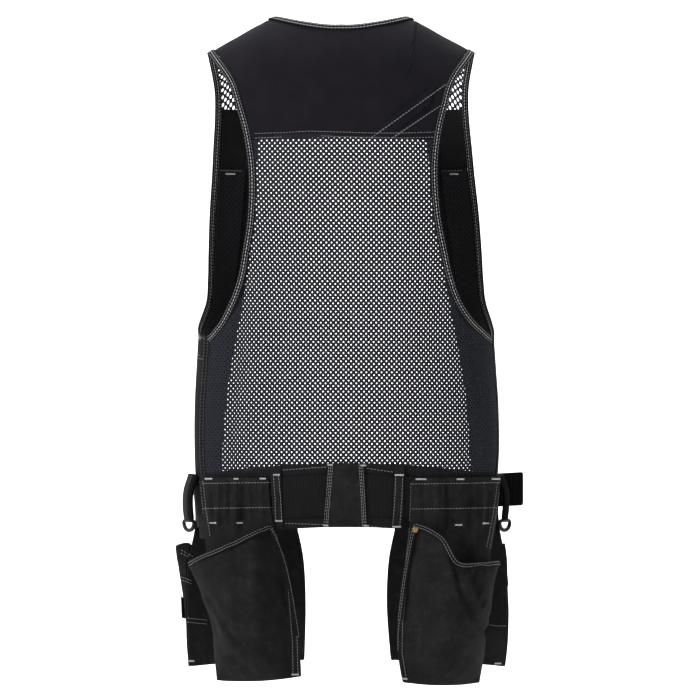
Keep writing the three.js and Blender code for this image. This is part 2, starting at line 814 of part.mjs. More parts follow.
function beltSheet(end, top, height, rows, inner, outer) {
  const point = (u, v) => {
    const angle = mix(-end, end, u);
    return onBody(angle, beltTop(angle) - top - v * height);
  };
  return sheet(point, anglePlaces(-end, end), rows, inner, outer);
}

const bandEnd = angleAt(frontOpening, -shoulderToBelt, true);
const halfBand = waistbandThickness / 2;
add("waistband", beltSheet(bandEnd, 0, waistbandHeight, 2, -halfBand, halfBand), yokeBlack, 0.9);

const claspEnd = angleAt(buckleWidth / 2 + curvedSeamGap, -shoulderToBelt - beltMiddle, true);
const webbing = beltSheet(claspEnd, webbingTop, beltWidth, 2, webbingInner, webbingOuter);
add("belt_webbing", webbing, webbingBlack, 0.8);

// A strip sewn to the waistband above and below the belt, which passes under it.
function overStrip(middle, width, flare) {
  const at = (x) => Math.sign(x) * angleAt(x, -shoulderToBelt - beltMiddle, false);
  const from = at(middle - width / 2);
  const to = at(middle + width / 2);
  const point = (u, v) => {
    const spread = 1 + (flare * v) / width;
    const angle = mix(from, to, 0.5 + (u - 0.5) * spread);
    return onBody(angle, beltTop(angle) - v * waistbandHeight);
  };
  const rise = (u, v) => {
    const inFromEdge = Math.min(v, 1 - v) * waistbandHeight;
    return mix(webbingInner, overBelt, ease(inFromEdge / webbingTop / 0.6 - 0.5));
  };
  const rows = [0, 0.05, 0.1, 0.16, 0.5, 0.84, 0.9, 0.95, 1];
  return sheet(point, anglePlaces(from, to), rows, rise, (u, v) => rise(u, v) + clothThickness);
}
add("centre_patch", overStrip(0, patchWidth, patchFlare), pocketBlack, 0.9);
add("belt_loop_left", overStrip(-loopLeft, loopWidth, 0), pocketBlack, 0.9);
add("belt_loop_right", overStrip(loopRight, loopWidth, 0), pocketBlack, 0.9);

// The closed clasp at the front, between the belt's two ends.
function buckle() {
  const w = buckleWidth / 2;
  const h = buckleHeight / 2;
  const outline = new THREE.Shape();
  outline.moveTo(-w + buckleCorner, -h);
  outline.lineTo(w - buckleCorner, -h);
  outline.quadraticCurveTo(w, -h, w, -h + buckleCorner);
  outline.lineTo(w, h - buckleCorner);
  outline.quadraticCurveTo(w, h, w - buckleCorner, h);
  outline.lineTo(-w + buckleCorner, h);
  outline.quadraticCurveTo(-w, h, -w, h - buckleCorner);
  outline.lineTo(-w, -h + buckleCorner);
  outline.quadraticCurveTo(-w, -h, -w + buckleCorner, -h);
  const body = new THREE.ExtrudeGeometry(outline, {
    depth: buckleThickness - 2 * buckleBevel,
    bevelThickness: buckleBevel,
    bevelSize: buckleBevel,
    bevelOffset: -buckleBevel,
    bevelSegments: 1,
    curveSegments: 3,
  });
  body.deleteAttribute("uv");
  body.deleteAttribute("normal");
  const middle = onBody(Math.PI, beltTop(Math.PI) - beltMiddle);
  body.translate(0, 0, buckleBevel - buckleThickness / 2);
  body.rotateX(quarterTurn);
  body.translate(middle.x, middle.y + webbingInner + beltThickness / 2, middle.z);
  body.computeVertexNormals();
  return body;
}
add("buckle", buckle(), plasticBlack, 0.45);

// The belt's free end: round the front over the right pocket's top, then straight off to the side.
function beltTail() {
  const clear = overBelt + pocketCloth + gatherDepth + 2 * curvedSeamGap;
  const steps = 8;
  const straight = [0.35, 0.7, 1];
  const total = steps + straight.length;
  const places = [];
  for (let k = 0; k <= steps; k += 1) {
    const angle = mix(tailStart, tailLeaves, k / steps) * degree;
    const z = beltTop(angle) - beltMiddle;
    const normal = bodyNormal(angle, z).setZ(0).normalize();
    const point = onBody(angle, z).addScaledVector(normal, k === 0 ? overBelt : clear);
    point.z += (tailRise * k) / total;
    places.push({ point, normal, across: new THREE.Vector3(0, 0, 1) });
  }
  const last = places[steps];
  const along = last.point.clone().sub(places[steps - 1].point).setZ(0).normalize();
  straight.forEach((share, k) => {
    const point = last.point.clone().addScaledVector(along, tailLength * share);
    point.z += (tailRise * (k + 1)) / total;
    places.push({ point, normal: last.normal, across: last.across });
  });
  return band(places, -tailWidth / 2, tailWidth / 2, 0, beltThickness);
}
add("belt_tail", beltTail(), webbingBlack, 0.8);

// The tool holders at the sides: a strap down over the belt and a ring in its end.
function strapPlace(side, out, z) {
  const angle = side * (side < 0 ? strapTurnLeft : strapTurnRight) * degree;
  const top = beltTop(angle);
  const normal = bodyNormal(angle, top).setZ(0).normalize();
  const skin = waistbandThickness / 2 + layerGap;
  return { point: onBody(angle, top).addScaledVector(normal, skin + out).setZ(top - z), normal };
}

function sideStrap(side) {
  const half = sideStrapThickness / 2;
  const path = strapRows.map((row) => strapPlace(side, row.out, row.down * sideStrapLength).point);
  const curve = new THREE.CatmullRomCurve3(path);
  const across = new THREE.Vector3(0, 0, 1).cross(strapPlace(side, 0, 0).normal);
  const steps = 12;
  const places = Array.from({ length: steps + 1 }, (_, k) => {
    const normal = curve.getTangent(k / steps).cross(across).normalize();
    return { point: curve.getPoint(k / steps), normal, across };
  });
  return band(places, -sideStrapWidth / 2, sideStrapWidth / 2, -half, half);
}

function dRing(side) {
  const out = strapRows[strapRows.length - 1].out;
  const centre = strapPlace(side, out, sideStrapLength + seamGap + ringWire / 2).point;
  const z = centre.z;
  const turn = ringTurn * degree;
  const wide = new THREE.Vector3(side * Math.cos(turn), Math.sin(turn), 0);
  const flat = new THREE.Vector3(0, 0, 1).cross(wide).normalize();
  const reach = (ringWidth - ringWire) / 2;
  const outline = [
    [-reach, 0],
    [0, 0],
    [reach, 0],
  ];
  const steps = 8;
  for (let k = 1; k < steps; k += 1) {
    const angle = (k / steps) * 2 * quarterTurn;
    outline.push([reach * Math.cos(angle), -ringHeight * Math.sin(angle) ** 0.8]);
  }
  const points = outline.map(([a, b]) => centre.clone().addScaledVector(wide, a).setZ(z + b));
  const sides = 6;
  const sections = points.map((point, k) => {
    const before = points[(k + points.length - 1) % points.length];
    const after = points[(k + 1) % points.length];
    const inward = after.clone().sub(before).cross(flat).normalize();
    return Array.from({ length: sides }, (_, i) => {
      const angle = (i / sides) * 4 * quarterTurn;
      return point
        .clone()
        .addScaledVector(flat, (ringWire / 2) * Math.cos(angle))
        .addScaledVector(inward, (ringWire / 2) * Math.sin(angle));
    });
  });
  return loft(sections, true);
}

for (const [hand, edges] of Object.entries(clothEdges)) {
  add(`side_strap_${hand}`, sideStrap(edges.side), webbingBlack, 0.6);
  add(`d_ring_${hand}`, dRing(edges.side), plasticBlack, 0.4);
}

// A hanging pocket's panel: it follows the belt at its top and hangs flatter below.
function pocketPanel(pocket) {
  const { side, rows, front } = pocket;
  const halfWaist = waistWidth / 2;
  const depth = front ? -waistFront : waistBack;
  const topZ = -shoulderToBelt - pocketTop;
  const from = angleAt(rows[0].inner * halfWaist, topZ, front);
  const to = pocket.turn * degree;
  const column = (v, name) => read(rows, "down", v, name);
  return (u, v) => {
    const z = topZ - v * pocket.height * (1 - pocket.slant * (1 - u) ** 2);
    const held = Math.max(z, topZ - waistbandHeight);
    const angle = side * mix(from, to, u);
    const normal = bodyNormal(angle, held).setZ(0).normalize();
    const belt = onBody(angle, held).addScaledVector(normal, overBelt + halfPocket).setZ(z);
    const x = side * halfWaist * mix(column(v, "inner"), column(v, "outer"), u);
    const bow = Math.sign(depth) * pocket.bow * Math.sin(Math.PI * u);
    const y = -depth * mix(column(v, "innerOut"), column(v, "outerOut"), u) - bow;
    const point = belt.lerp(new THREE.Vector3(x, y, z), ease((v - 0.12) / 0.32));
    const fold = 0.5 - 0.5 * Math.cos(4 * quarterTurn * pocket.gathers * u);
    const along = ease(v / 0.12) * (1 - ease((v - 0.42) / 0.2));
    return point.addScaledVector(normal, gatherDepth * fold * along);
  };
}

// The pouch on a panel: closed at the panel's sides and foot, open at its mouth.
function pocketPouch(pocket, panel) {
  const swingPeak = 0.75 ** 3 * 0.25;
  const { fold } = pocket;
  return (u, v) => {
    const down = mix(read(pocket.mouth, "across", u, "down"), 1, v);
    const swing = (read(pouchRows, "down", v, "swing") * pocket.swing * u ** 3 * (1 - u)) / swingPeak;
    const across = pocket.from + (u + swing) * pocket.span;
    const rise = Math.max(u - sewnStrip, 0) / (1 - sewnStrip);
    const crown = Math.max(Math.sin(Math.PI * rise), 0) ** 0.75;
    const valley = Math.exp(-(((u - fold.from - fold.slope * v) / fold.width) ** 2));
    const creased = fold.depth * valley * (1 - ease((v - 0.4) / 0.25));
    const out = crown * (pocket.bulge * read(pouchRows, "down", v, "bulge") - creased);
    const edge = clamp(across, 0, 1);
    const point = panel(edge, down);
    const chord = panel(1, down).sub(panel(0, down)).setZ(0);
    point.addScaledVector(chord, across - edge);
    const normal = new THREE.Vector3(-chord.y, chord.x, 0).normalize();
    if (normal.y * point.y < 0) normal.negate();
    return point.addScaledVector(normal, Math.max(out, 0) + pocketCloth + pouchGap);
  };
}

for (const [name, pocket] of Object.entries(pockets)) {
  const panel = pocketPanel(pocket);
  const pouch = pocketPouch(pocket, panel);
  const [place, hand] = name.split("_");
  const panelGrid = pocket.front ? [8, 7] : [12, 8];
  const pouchGrid = pocket.front ? [10, 7] : [14, 10];
  const back = sheet(panel, ...panelGrid, -halfPocket, halfPocket);
  add(`${place}_pocket_back_${hand}`, back, pocketBlack, 0.92);
  const bag = sheet(pouch, ...pouchGrid, -halfPocket, halfPocket);
  add(`${place}_pouch_${hand}`, bag, pocketBlack, 0.92);
}

// The narrow tool holder at the outer edge of the left front pocket, with its small flap.
const toolPouch = pocketPouch(toolPocket, pocketPanel(toolPocket));
add("tool_pocket_left", sheet(toolPouch, 8, 6, -halfPocket, halfPocket), pocketBlack, 0.92);

function toolFlap() {
  const point = (u, v) => toolPouch(mix(0.5, 0.9, u), mix(0.42, 0.6, v));
  const inner = (u, v) => halfPocket + layerGap + 2 * v;
  return sheet(point, 4, 3, inner, (u, v) => inner(u, v) + flapThickness);
}
add("tool_flap_left", toolFlap(), pocketBlack, 0.9);

// The rivet at the inner end of the right pouch's mouth.
function pocketRivet() {
  const panel = pocketPanel(pockets.rear_right);
  const pouch = pocketPouch(pockets.rear_right, panel);
  const place = { across: 0.042, down: 0.04 };
  const point = pouch(place.across, place.down);
  const normal = outwardNormal(pouch, place.across, place.down, 1);
  if (normal.y > 0) normal.negate();
  const radius = rivetDiameter / 2;
  const profile = [
    new THREE.Vector2(0, 0),
    new THREE.Vector2(radius, 0),
    new THREE.Vector2(radius, rivetHeight * 0.4),
    new THREE.Vector2(radius * 0.6, rivetHeight),
    new THREE.Vector2(0, rivetHeight),
  ];
  const head = new THREE.LatheGeometry(profile, 12);
  head.deleteAttribute("uv");
  head.deleteAttribute("normal");
  head.applyQuaternion(new THREE.Quaternion().setFromUnitVectors(new THREE.Vector3(0, 1, 0), normal));
  const seat = point.addScaledVector(normal, halfPocket + rivetSeat);
  head.translate(seat.x, seat.y, seat.z);
  head.computeVertexNormals();
  return head;
}
add("pocket_rivet", pocketRivet(), brass, 0.35, 0.9);

export default vest;
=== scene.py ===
import math

import bmesh
import bpy
import numpy as np
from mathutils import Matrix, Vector, noise
from mathutils.bvhtree import BVHTree


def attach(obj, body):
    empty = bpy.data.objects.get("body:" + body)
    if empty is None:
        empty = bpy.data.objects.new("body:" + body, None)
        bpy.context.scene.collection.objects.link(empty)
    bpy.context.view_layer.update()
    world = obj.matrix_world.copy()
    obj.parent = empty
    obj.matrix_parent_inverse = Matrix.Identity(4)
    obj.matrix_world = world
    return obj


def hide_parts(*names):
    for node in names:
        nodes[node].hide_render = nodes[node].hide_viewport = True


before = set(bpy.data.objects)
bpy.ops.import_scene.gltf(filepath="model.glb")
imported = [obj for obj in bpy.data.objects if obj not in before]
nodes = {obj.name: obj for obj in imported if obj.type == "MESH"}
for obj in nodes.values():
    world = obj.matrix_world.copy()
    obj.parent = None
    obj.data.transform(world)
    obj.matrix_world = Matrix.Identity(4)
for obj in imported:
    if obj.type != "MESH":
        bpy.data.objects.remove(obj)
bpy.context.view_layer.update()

# The room: a pale floor that curves up into a backdrop, soft light from large panels, and the camera
# straight behind the vest at half its height.
PHOTO_WIDE = 700
FOCAL = 3478
EYE_HEIGHT = -0.368
eye = Vector((0.0046, -4.1, EYE_HEIGHT))
camera_data = bpy.data.cameras.new("photo_camera")
camera_data.sensor_width = 36
camera_data.lens = FOCAL / PHOTO_WIDE * 36
camera_data.clip_end = 60
camera = bpy.data.objects.new("photo_camera", camera_data)
camera.location = eye
camera.rotation_euler = (math.radians(90), 0, 0)
bpy.context.collection.objects.link(camera)
bpy.context.scene.camera = camera

world = bpy.data.worlds.new("studio")
world.use_nodes = True
world.node_tree.nodes["Background"].inputs["Color"].default_value = (1, 1, 1, 1)
world.node_tree.nodes["Background"].inputs["Strength"].default_value = 0.42
bpy.context.scene.world = world
bpy.context.scene.view_settings.view_transform = "Standard"


def light(name, place, aim, size, watts):
    data = bpy.data.lights.new(name, "AREA")
    data.shape, data.size, data.energy = "SQUARE", size, watts
    lamp = bpy.data.objects.new(name, data)
    lamp.location = place
    lamp.rotation_euler = (Vector(aim) - Vector(place)).to_track_quat("-Z", "Y").to_euler()
    bpy.context.collection.objects.link(lamp)


light("key", (-2.3, -1.9, 1.5), (0, 0, -0.4), 0.9, 92)
light("fill", (2.4, -2.4, 0.5), (0, 0, -0.4), 1.6, 14)
light("front", (0.5, 3.0, 2.6), (0, 0, -0.4), 1.8, 34)
light("wall", (0, 2.2, 4.2), (0, 6.0, -0.5), 4.0, 620)


def new_object(name, points, faces, smooth=True):
    mesh = bpy.data.meshes.new(name)
    mesh.from_pydata([tuple(p) for p in points], [], [tuple(f) for f in faces])
    mesh.polygons.foreach_set("use_smooth", [smooth] * len(mesh.polygons))
    mesh.update()
    made = bpy.data.objects.new(name, mesh)
    bpy.context.collection.objects.link(made)
    return made


def grid_faces(rows, columns):
    return [
        (j * columns + i, j * columns + i + 1, (j + 1) * columns + i + 1, (j + 1) * columns + i)
        for j in range(rows - 1) for i in range(columns - 1)
    ]


def backdrop():
    floor, back, bend = -0.81, 6.4, 1.6
    path = [(-16, floor), (back - bend, floor)]
    for k in range(1, 13):
        turn = k / 12 * math.pi / 2
        path.append((back - bend + bend * math.sin(turn), floor + bend - bend * math.cos(turn)))
    path.append((back, 9))
    points = [(x, y, z) for y, z in path for x in (-16, -8, 0, 8, 16)]
    return new_object("backdrop", points, grid_faces(len(path), 5))


room = backdrop()
paper = bpy.data.materials.new("studio_paper")
paper.use_nodes = True
paper.node_tree.nodes["Principled BSDF"].inputs["Base Color"].default_value = (0.9, 0.9, 0.9, 1)
paper.node_tree.nodes["Principled BSDF"].inputs["Roughness"].default_value = 0.9
room.data.materials.append(paper)


# The worn form: the squarish oval that the cloth keeps round a body, with its shoulders arched over.
# Angles run round it from the middle of the back. All the body's pieces lie on it.
MM = 0.001
SHOULDER_WIDTH, NECK_WIDTH, NECK_RISE, SHOULDER_FALL = 0.316, 0.154, 0.024, 0.019
SHOULDER_DEPTH, SHOULDER_LEAN, ARMHOLE_DEPTH, TO_BELT = 0.120, 0.006, 0.356, 0.498
CHEST_WIDTH, CHEST_BACK, CHEST_FRONT = 0.374, 0.107, 0.118
WAIST_WIDTH, WAIST_BACK, WAIST_FRONT = 0.360, 0.093, 0.106
SQUARE, ARCH = 2.4, 2.2


def smooth_curve(at, values):
    """A smooth curve through a table's column, straight past its ends."""
    at, values = np.array(at, float), np.array(values, float)
    last = len(at) - 1
    slope = [
        (values[min(k + 1, last)] - values[max(k - 1, 0)]) / (at[min(k + 1, last)] - at[max(k - 1, 0)])
        for k in range(last + 1)
    ]
    spot = np.linspace(at[0] - 0.4, at[-1] + 0.4, 1600)
    i = np.clip(np.searchsorted(at, spot) - 1, 0, last - 1)
    span = at[i + 1] - at[i]
    t = np.clip((spot - at[i]) / span, 0, 1)
    slope = np.array(slope)
    curve = (
        values[i] * (2 * t**3 - 3 * t**2 + 1) + values[i + 1] * (3 * t**2 - 2 * t**3)
        + slope[i] * span * (t**3 - 2 * t**2 + t) + slope[i + 1] * span * (t**3 - t**2)
    )
    past = spot - np.clip(spot, at[0], at[-1])
    curve = curve + past * slope[np.where(past > 0, i + 1, i)]
    return lambda x: np.interp(x, spot, curve)


body_down = (0.0, 0.15, 0.34, 0.52, 0.7, 0.87, 1.0, 1.15, 1.3)
to_waist = smooth_curve(body_down, (0, 0, 0, 0.3, 0.7, 0.9, 1, 1, 1))
wide = smooth_curve(body_down, (1, 1, 1, 0.98, 0.955, 0.99, 0.995, 0.955, 0.95))
deep_back = smooth_curve(body_down, (0.9, 0.97, 1, 1, 1, 1, 1, 1, 1))
deep_front = smooth_curve(body_down, (0.86, 0.95, 1, 1, 1, 1, 1, 1, 1))
shoulder_line = smooth_curve(
    (0.0, 0.25, 0.487, 0.62, 0.745, 0.86, 1.0, 1.2), (1.28, 1.21, 1.0, 0.78, 0.51, 0.3, 0.0, -0.4)
)


def mix(a, b, share):
    return a + (b - a) * share


def ease(share):
    t = np.clip(share, 0, 1)
    return t * t * (3 - 2 * t)


def body_size(z):
    down = -np.asarray(z, float) / TO_BELT
    waist = to_waist(down)
    return (
        mix(CHEST_WIDTH, WAIST_WIDTH, waist) / 2 * wide(down),
        mix(CHEST_BACK, WAIST_BACK, waist) * deep_back(down),
        mix(CHEST_FRONT, WAIST_FRONT, waist) * deep_front(down),
    )


def lean(z):
    return -SHOULDER_LEAN * ease(1 + np.asarray(z, float) / ARMHOLE_DEPTH)


def shoulder_height(x):
    across = np.minimum(np.abs(x) / (SHOULDER_WIDTH / 2), 1.2)
    return mix(-SHOULDER_FALL, NECK_RISE, shoulder_line(across))


def square_radius(angle):
    return (np.abs(np.sin(angle)) ** SQUARE + np.abs(np.cos(angle)) ** SQUARE) ** (-1 / SQUARE)


def on_body(angle, z):
    angle, z = np.broadcast_arrays(np.asarray(angle, float), np.asarray(z, float))
    side, back, front = body_size(z)
    r = square_radius(angle)
    x = side * np.sin(angle) * r
    left = np.clip((shoulder_height(x) - z) / SHOULDER_DEPTH, 0, 1)
    arch = (1 - (1 - left) ** ARCH) ** (1 / ARCH)
    depth = np.where(np.cos(angle) > 0, back, front)
    return np.stack([x + lean(z), -depth * np.cos(angle) * r * arch, z], -1)


def on_shoulder(x, reach):
    x, reach = np.broadcast_arrays(np.asarray(x, float), np.asarray(reach, float))
    turn = np.minimum(np.abs(reach) / SHOULDER_DEPTH, 1) * math.pi / 2
    arched = SHOULDER_DEPTH * (1 - np.cos(turn) ** (2 / ARCH))
    z = shoulder_height(x) - np.where(np.abs(reach) < SHOULDER_DEPTH, arched, np.abs(reach))
    side, back, front = body_size(z)
    across = np.minimum(np.abs(x) / side, 1)
    rounded = (1 - across**SQUARE) ** (1 / SQUARE)
    depth = np.where(reach > 0, back, front) * rounded * np.sin(turn) ** (2 / ARCH)
    return np.stack([x + lean(z), -np.sign(reach) * depth, z], -1)


def across_at(angle, z):
    return body_size(z)[0] * np.sin(angle) * square_radius(angle)


def reach_at(x, z):
    drop = np.maximum(shoulder_height(x) - z, 0)
    inside = np.clip(1 - drop / SHOULDER_DEPTH, 0, 1) ** (ARCH / 2)
    return np.where(drop > SHOULDER_DEPTH, drop, SHOULDER_DEPTH * np.arccos(inside) * 2 / math.pi)


def unit(v):
    return v / np.maximum(np.linalg.norm(v, axis=-1, keepdims=True), 1e-12)


def normal_of(form, a, b, step_a, step_b, outward):
    """The outward normal of a form at its two coordinates."""
    along = form(a + step_a, b) - form(a - step_a, b)
    down = form(a, b + step_b) - form(a, b - step_b)
    n = unit(np.cross(along, down))
    flip = np.sum(n * outward, axis=-1, keepdims=True) < 0
    return np.where(flip, -n, n)


def away(points):
    """A rough outward direction: level, from the body's middle line, and up over the shoulders."""
    rise = np.clip((points[..., 2] + 0.03) / 0.05, 0, 1)
    return unit(np.stack([points[..., 0] / 0.18**2, points[..., 1] / 0.1**2, rise * 12], -1))


# The yoke's cloth: plain woven black yarn, dyed a little unevenly. A finish is one node material,
# written as a formula of its pattern, and the other cloths of the vest are woven the same way.
class Wire:
    """A shader socket that takes part in sums, so that a pattern reads as its formula."""

    def __init__(self, tree, socket=None):
        self.tree, self.socket = tree, socket

    def node(self, kind, settings=None, output=0, **sockets):
        made = self.tree.nodes.new(kind)
        for key, value in (settings or {}).items():
            setattr(made, key, value)
        for key, value in sockets.items():
            slot = made.inputs[int(key[1:])] if key[0] == "_" else made.inputs[key.replace("_", " ")]
            if isinstance(value, Wire):
                self.tree.links.new(value.socket, slot)
            else:
                slot.default_value = value
        return Wire(self.tree, made.outputs[output])

    def sum(self, operation, other=None):
        sockets = {"_0": self} if other is None else {"_0": self, "_1": other}
        return self.node("ShaderNodeMath", {"operation": operation}, **sockets)

    def __add__(self, other):
        return self.sum("ADD", other)

    def __sub__(self, other):
        return self.sum("SUBTRACT", other)

    def __mul__(self, other):
        return self.sum("MULTIPLY", other)

    def __rsub__(self, other):
        return self.node("ShaderNodeMath", {"operation": "SUBTRACT"}, _0=other, _1=self)

    __radd__, __rmul__ = __add__, __mul__

    def wave(self, pitch):
        """A sine of 0 to 1 along this value, once each pitch."""
        return (self * (2 * math.pi / pitch)).sum("SINE") * 0.5 + 0.5

    def above(self, low, high):
        return self.node("ShaderNodeMapRange", {"clamp": True}, Value=self, From_Min=low, From_Max=high)


def finish_named(name, roughness=0.9, sheen=0.0, specular=0.06, metallic=0.0):
    made = bpy.data.materials.new(name)
    made.use_nodes = True
    shader = made.node_tree.nodes["Principled BSDF"]
    shader.inputs["Roughness"].default_value = roughness
    shader.inputs["Sheen Weight"].default_value = sheen
    shader.inputs["Sheen Roughness"].default_value = 0.4
    shader.inputs["Specular IOR Level"].default_value = specular
    shader.inputs["Metallic"].default_value = metallic
    wire = Wire(made.node_tree)
    place = wire.node("ShaderNodeTexCoord", output=3)
    return made, shader, wire, place


def shade(wire, mask, dark, light_colour):
    return wire.node(
        "ShaderNodeMix", {"data_type": "RGBA"}, output=2, _0=mask, _6=(*dark, 1), _7=(*light_colour, 1)
    )


def connect(wire, shader, colour=None, rough=None, height=None, bump=0.0, distance=0.0005):
    if colour is not None:
        wire.tree.links.new(colour.socket, shader.inputs["Base Color"])
    if rough is not None:
        wire.tree.links.new(rough.socket, shader.inputs["Roughness"])
    if height is not None:
        relief = wire.node("ShaderNodeBump", Strength=bump, Distance=distance, Height=height)
        wire.tree.links.new(relief.socket, shader.inputs["Normal"])


def speckle(wire, place, scale, detail=3.0, roughness=0.6):
    return wire.node(
        "ShaderNodeTexNoise", Vector=place, Scale=scale, Detail=detail, Roughness=roughness
    )


def woven(name, dark, pale, weave, worn, wear_from=0.55, bump=0.5, sheen=0.0):
    """Plain woven cloth: crossed threads at the weave's pitch, uneven dye and rubbed places."""
    made, shader, wire, place = finish_named(name, 0.92, sheen, 0.06)
    x, y, z = (wire.node("ShaderNodeSeparateXYZ", output=k, Vector=place) for k in range(3))
    threads = (x + y).wave(weave) * z.wave(weave) + (1 - (x + y).wave(weave)) * (1 - z.wave(weave))
    uneven = speckle(wire, place, 38, 5.0)
    grain = speckle(wire, place, 900, 2.0)
    rubbed = speckle(wire, place, 95, 6.0, 0.7).above(wear_from, wear_from + 0.25)
    mask = threads * 0.25 + grain * 0.35 + uneven.above(0.3, 0.75) * 0.4 + rubbed * worn
    connect(wire, shader, shade(wire, mask, dark, pale), None, threads * 0.5 + grain * 0.7, bump, 0.0006)
    return made


yoke_cloth = woven("yoke_cloth", (0.0062, 0.0056, 0.0080), (0.0135, 0.0122, 0.0160), 0.0011, 0.15)


# The yoke, over the upper back and both shoulders, and the bare tape sewn slantwise on it. Like every
# sewn cloth here, each is taken finer from its plain solid and then given the folds that the photo
# shows, both faces of the wall together.
PX_MM = 1.15 * MM
BACK_MIDDLE_PX = 346


def photo_point(px, py):
    """A place of the photo in the plane of the back, in metres."""
    return np.array([(px - BACK_MIDDLE_PX) * PX_MM, EYE_HEIGHT + (PHOTO_WIDE / 2 - py) * PX_MM])


def crease(points, rows):
    """How far the photo's folds raise each point. A row: from x, y, to x, y, width in mm, rise in mm."""
    flat = points[:, [0, 2]]
    rise = np.zeros(len(points))
    for x0, y0, x1, y1, width, height in rows:
        a, b = photo_point(x0, y0), photo_point(x1, y1)
        along = b - a
        t = np.clip(((flat - a) @ along) / (along @ along), -0.3, 1.3)
        gap = np.linalg.norm(flat - a - t[:, None] * along, axis=1)
        end = ease((t + 0.3) / 0.35) * ease((1.3 - t) / 0.35)
        rise += height * MM * end * np.exp(-((gap / (width * MM)) ** 2))
    return rise


def long_crease(points, line, width, height):
    """One crease that follows several places of the photo, deepest along its middle."""
    flat, line = points[:, [0, 2]], np.array([photo_point(x, y) for x, y in line])
    run = np.concatenate([[0], np.cumsum(np.linalg.norm(np.diff(line, axis=0), axis=1))])
    nearest, share = np.full(len(flat), 1e9), np.zeros(len(flat))
    for a, b, start in zip(line, line[1:], run):
        t = np.clip(((flat - a) @ (b - a)) / ((b - a) @ (b - a)), 0, 1)
        gap = np.linalg.norm(flat - a - t[:, None] * (b - a), axis=1)
        share = np.where(gap < nearest, (start + t * np.linalg.norm(b - a)) / run[-1], share)
        nearest = np.minimum(gap, nearest)
    fade = ease(share / 0.25 + 0.25) * ease((1 - share) / 0.2 + 0.2)
    return height * MM * fade * np.exp(-((nearest / (width * MM)) ** 2))


def ripple(points, size, height, seed=0.0):
    """Slack in the cloth: a soft noise of about this size and height, in metres."""
    return np.array([
        noise.noise(Vector((p[0] / size + seed, p[1] / size, p[2] / size * 0.7))) for p in points
    ]) * height


def coordinates(mesh):
    flat = np.empty(len(mesh.vertices) * 3)
    mesh.vertices.foreach_get("co", flat)
    return flat.reshape(-1, 3)


def give_along(made):
    """The way round the body in metres, which ribs and net patterns follow."""
    points = coordinates(made.data)
    along = np.arctan2(points[:, 0], -points[:, 1]) * 0.16
    layer = made.data.attributes.new("along", "FLOAT", "POINT")
    layer.data.foreach_set("value", along.astype(np.float32))


def reach_into_seams(bm, hard, grow):
    """Moves a sheet's rim outwards, so that no light shows between it and the strip sewn over it."""
    push = {}
    for f in bm.faces:
        if min(e.calc_length() for e in f.edges) < 0.0035 and sum(e[hard] > 0 for e in f.edges) >= 2:
            for v in f.verts:
                push.setdefault(v, []).append(f.normal.copy())
    for v, normals in push.items():
        total = sum(normals, Vector())
        v.co += total.normalized() * grow if total.length > 0.1 else Vector()


def finer(name, levels, sharp=50, grow=0.0):
    """A fine copy of a plain solid: its triangles joined to quads, then subdivided, its rims kept."""
    bm = bmesh.new()
    bm.from_mesh(nodes[name].data)
    bmesh.ops.remove_doubles(bm, verts=bm.verts, dist=1e-6)
    bmesh.ops.join_triangles(bm, faces=bm.faces, angle_face_threshold=math.radians(55),
                             angle_shape_threshold=math.radians(75))
    hard = bm.edges.layers.float.new("crease_edge")
    for edge in bm.edges:
        if len(edge.link_faces) == 2 and edge.calc_face_angle() > math.radians(sharp):
            edge[hard] = 0.9
    if grow:
        reach_into_seams(bm, hard, grow)
    mesh = bpy.data.meshes.new(name)
    bm.to_mesh(mesh)
    bm.free()
    made = bpy.data.objects.new(name + "_sewn", mesh)
    bpy.context.collection.objects.link(made)
    rounder = made.modifiers.new("finer", "SUBSURF")
    rounder.levels = rounder.render_levels = levels
    fine = bpy.data.meshes.new_from_object(made.evaluated_get(bpy.context.evaluated_depsgraph_get()))
    made.modifiers.clear()
    made.data = fine
    fine.polygons.foreach_set("use_smooth", [True] * len(fine.polygons))
    return made


def move(made, rise):
    """Moves the cloth out by a rise for each point, along the body's outward direction."""
    points = coordinates(made.data)
    points = points + away(points) * rise[:, None]
    made.data.vertices.foreach_set("co", points.ravel())
    made.data.update()


def swell(made, thick):
    """Makes a piece thicker all over, as folded webbing or a moulded ring is beside its plain solid."""
    normals = np.array([v.normal for v in made.data.vertices])
    made.data.vertices.foreach_set("co", (coordinates(made.data) + normals * thick).ravel())
    made.data.update()


def sew_in(made, slot, finish, *replaced):
    """Puts a finished piece in the model: its body, its finish and the solid that it stands for."""
    if not made.data.materials:
        made.data.materials.append(finish)
    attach(made, "root")
    if replaced:
        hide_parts(*replaced)
    return made


sewn = {}


def cloth(name, slot, finish, levels, folds=(), slack=0.0, slack_size=0.05, seed=0.0, grow=0.0,
          lines=()):
    made = finer(name, levels, 50, grow)
    points = coordinates(made.data)
    rise = crease(points, folds) if len(folds) else np.zeros(len(points))
    for line, width, height in lines:
        rise = rise + long_crease(points, line, width, height)
    if slack:
        rise = rise + ripple(points, slack_size, slack, seed)
    move(made, rise)
    give_along(made)
    sewn[name] = made
    return sew_in(made, slot, finish, name)


yoke = cloth("back_yoke", "yoke_cloth", yoke_cloth, 2,
             [(300, 60, 330, 100, 9, 1.2), (390, 60, 375, 110, 9, 1.0), (250, 70, 262, 130, 8, -1.0),
              (330, 128, 400, 131, 5, 0.8), (262, 128, 300, 126, 5, -0.7)], 0.0011, 0.045, 3.0, 0.0013)
tape = cloth("yoke_tape", "binding", yoke_cloth, 2)


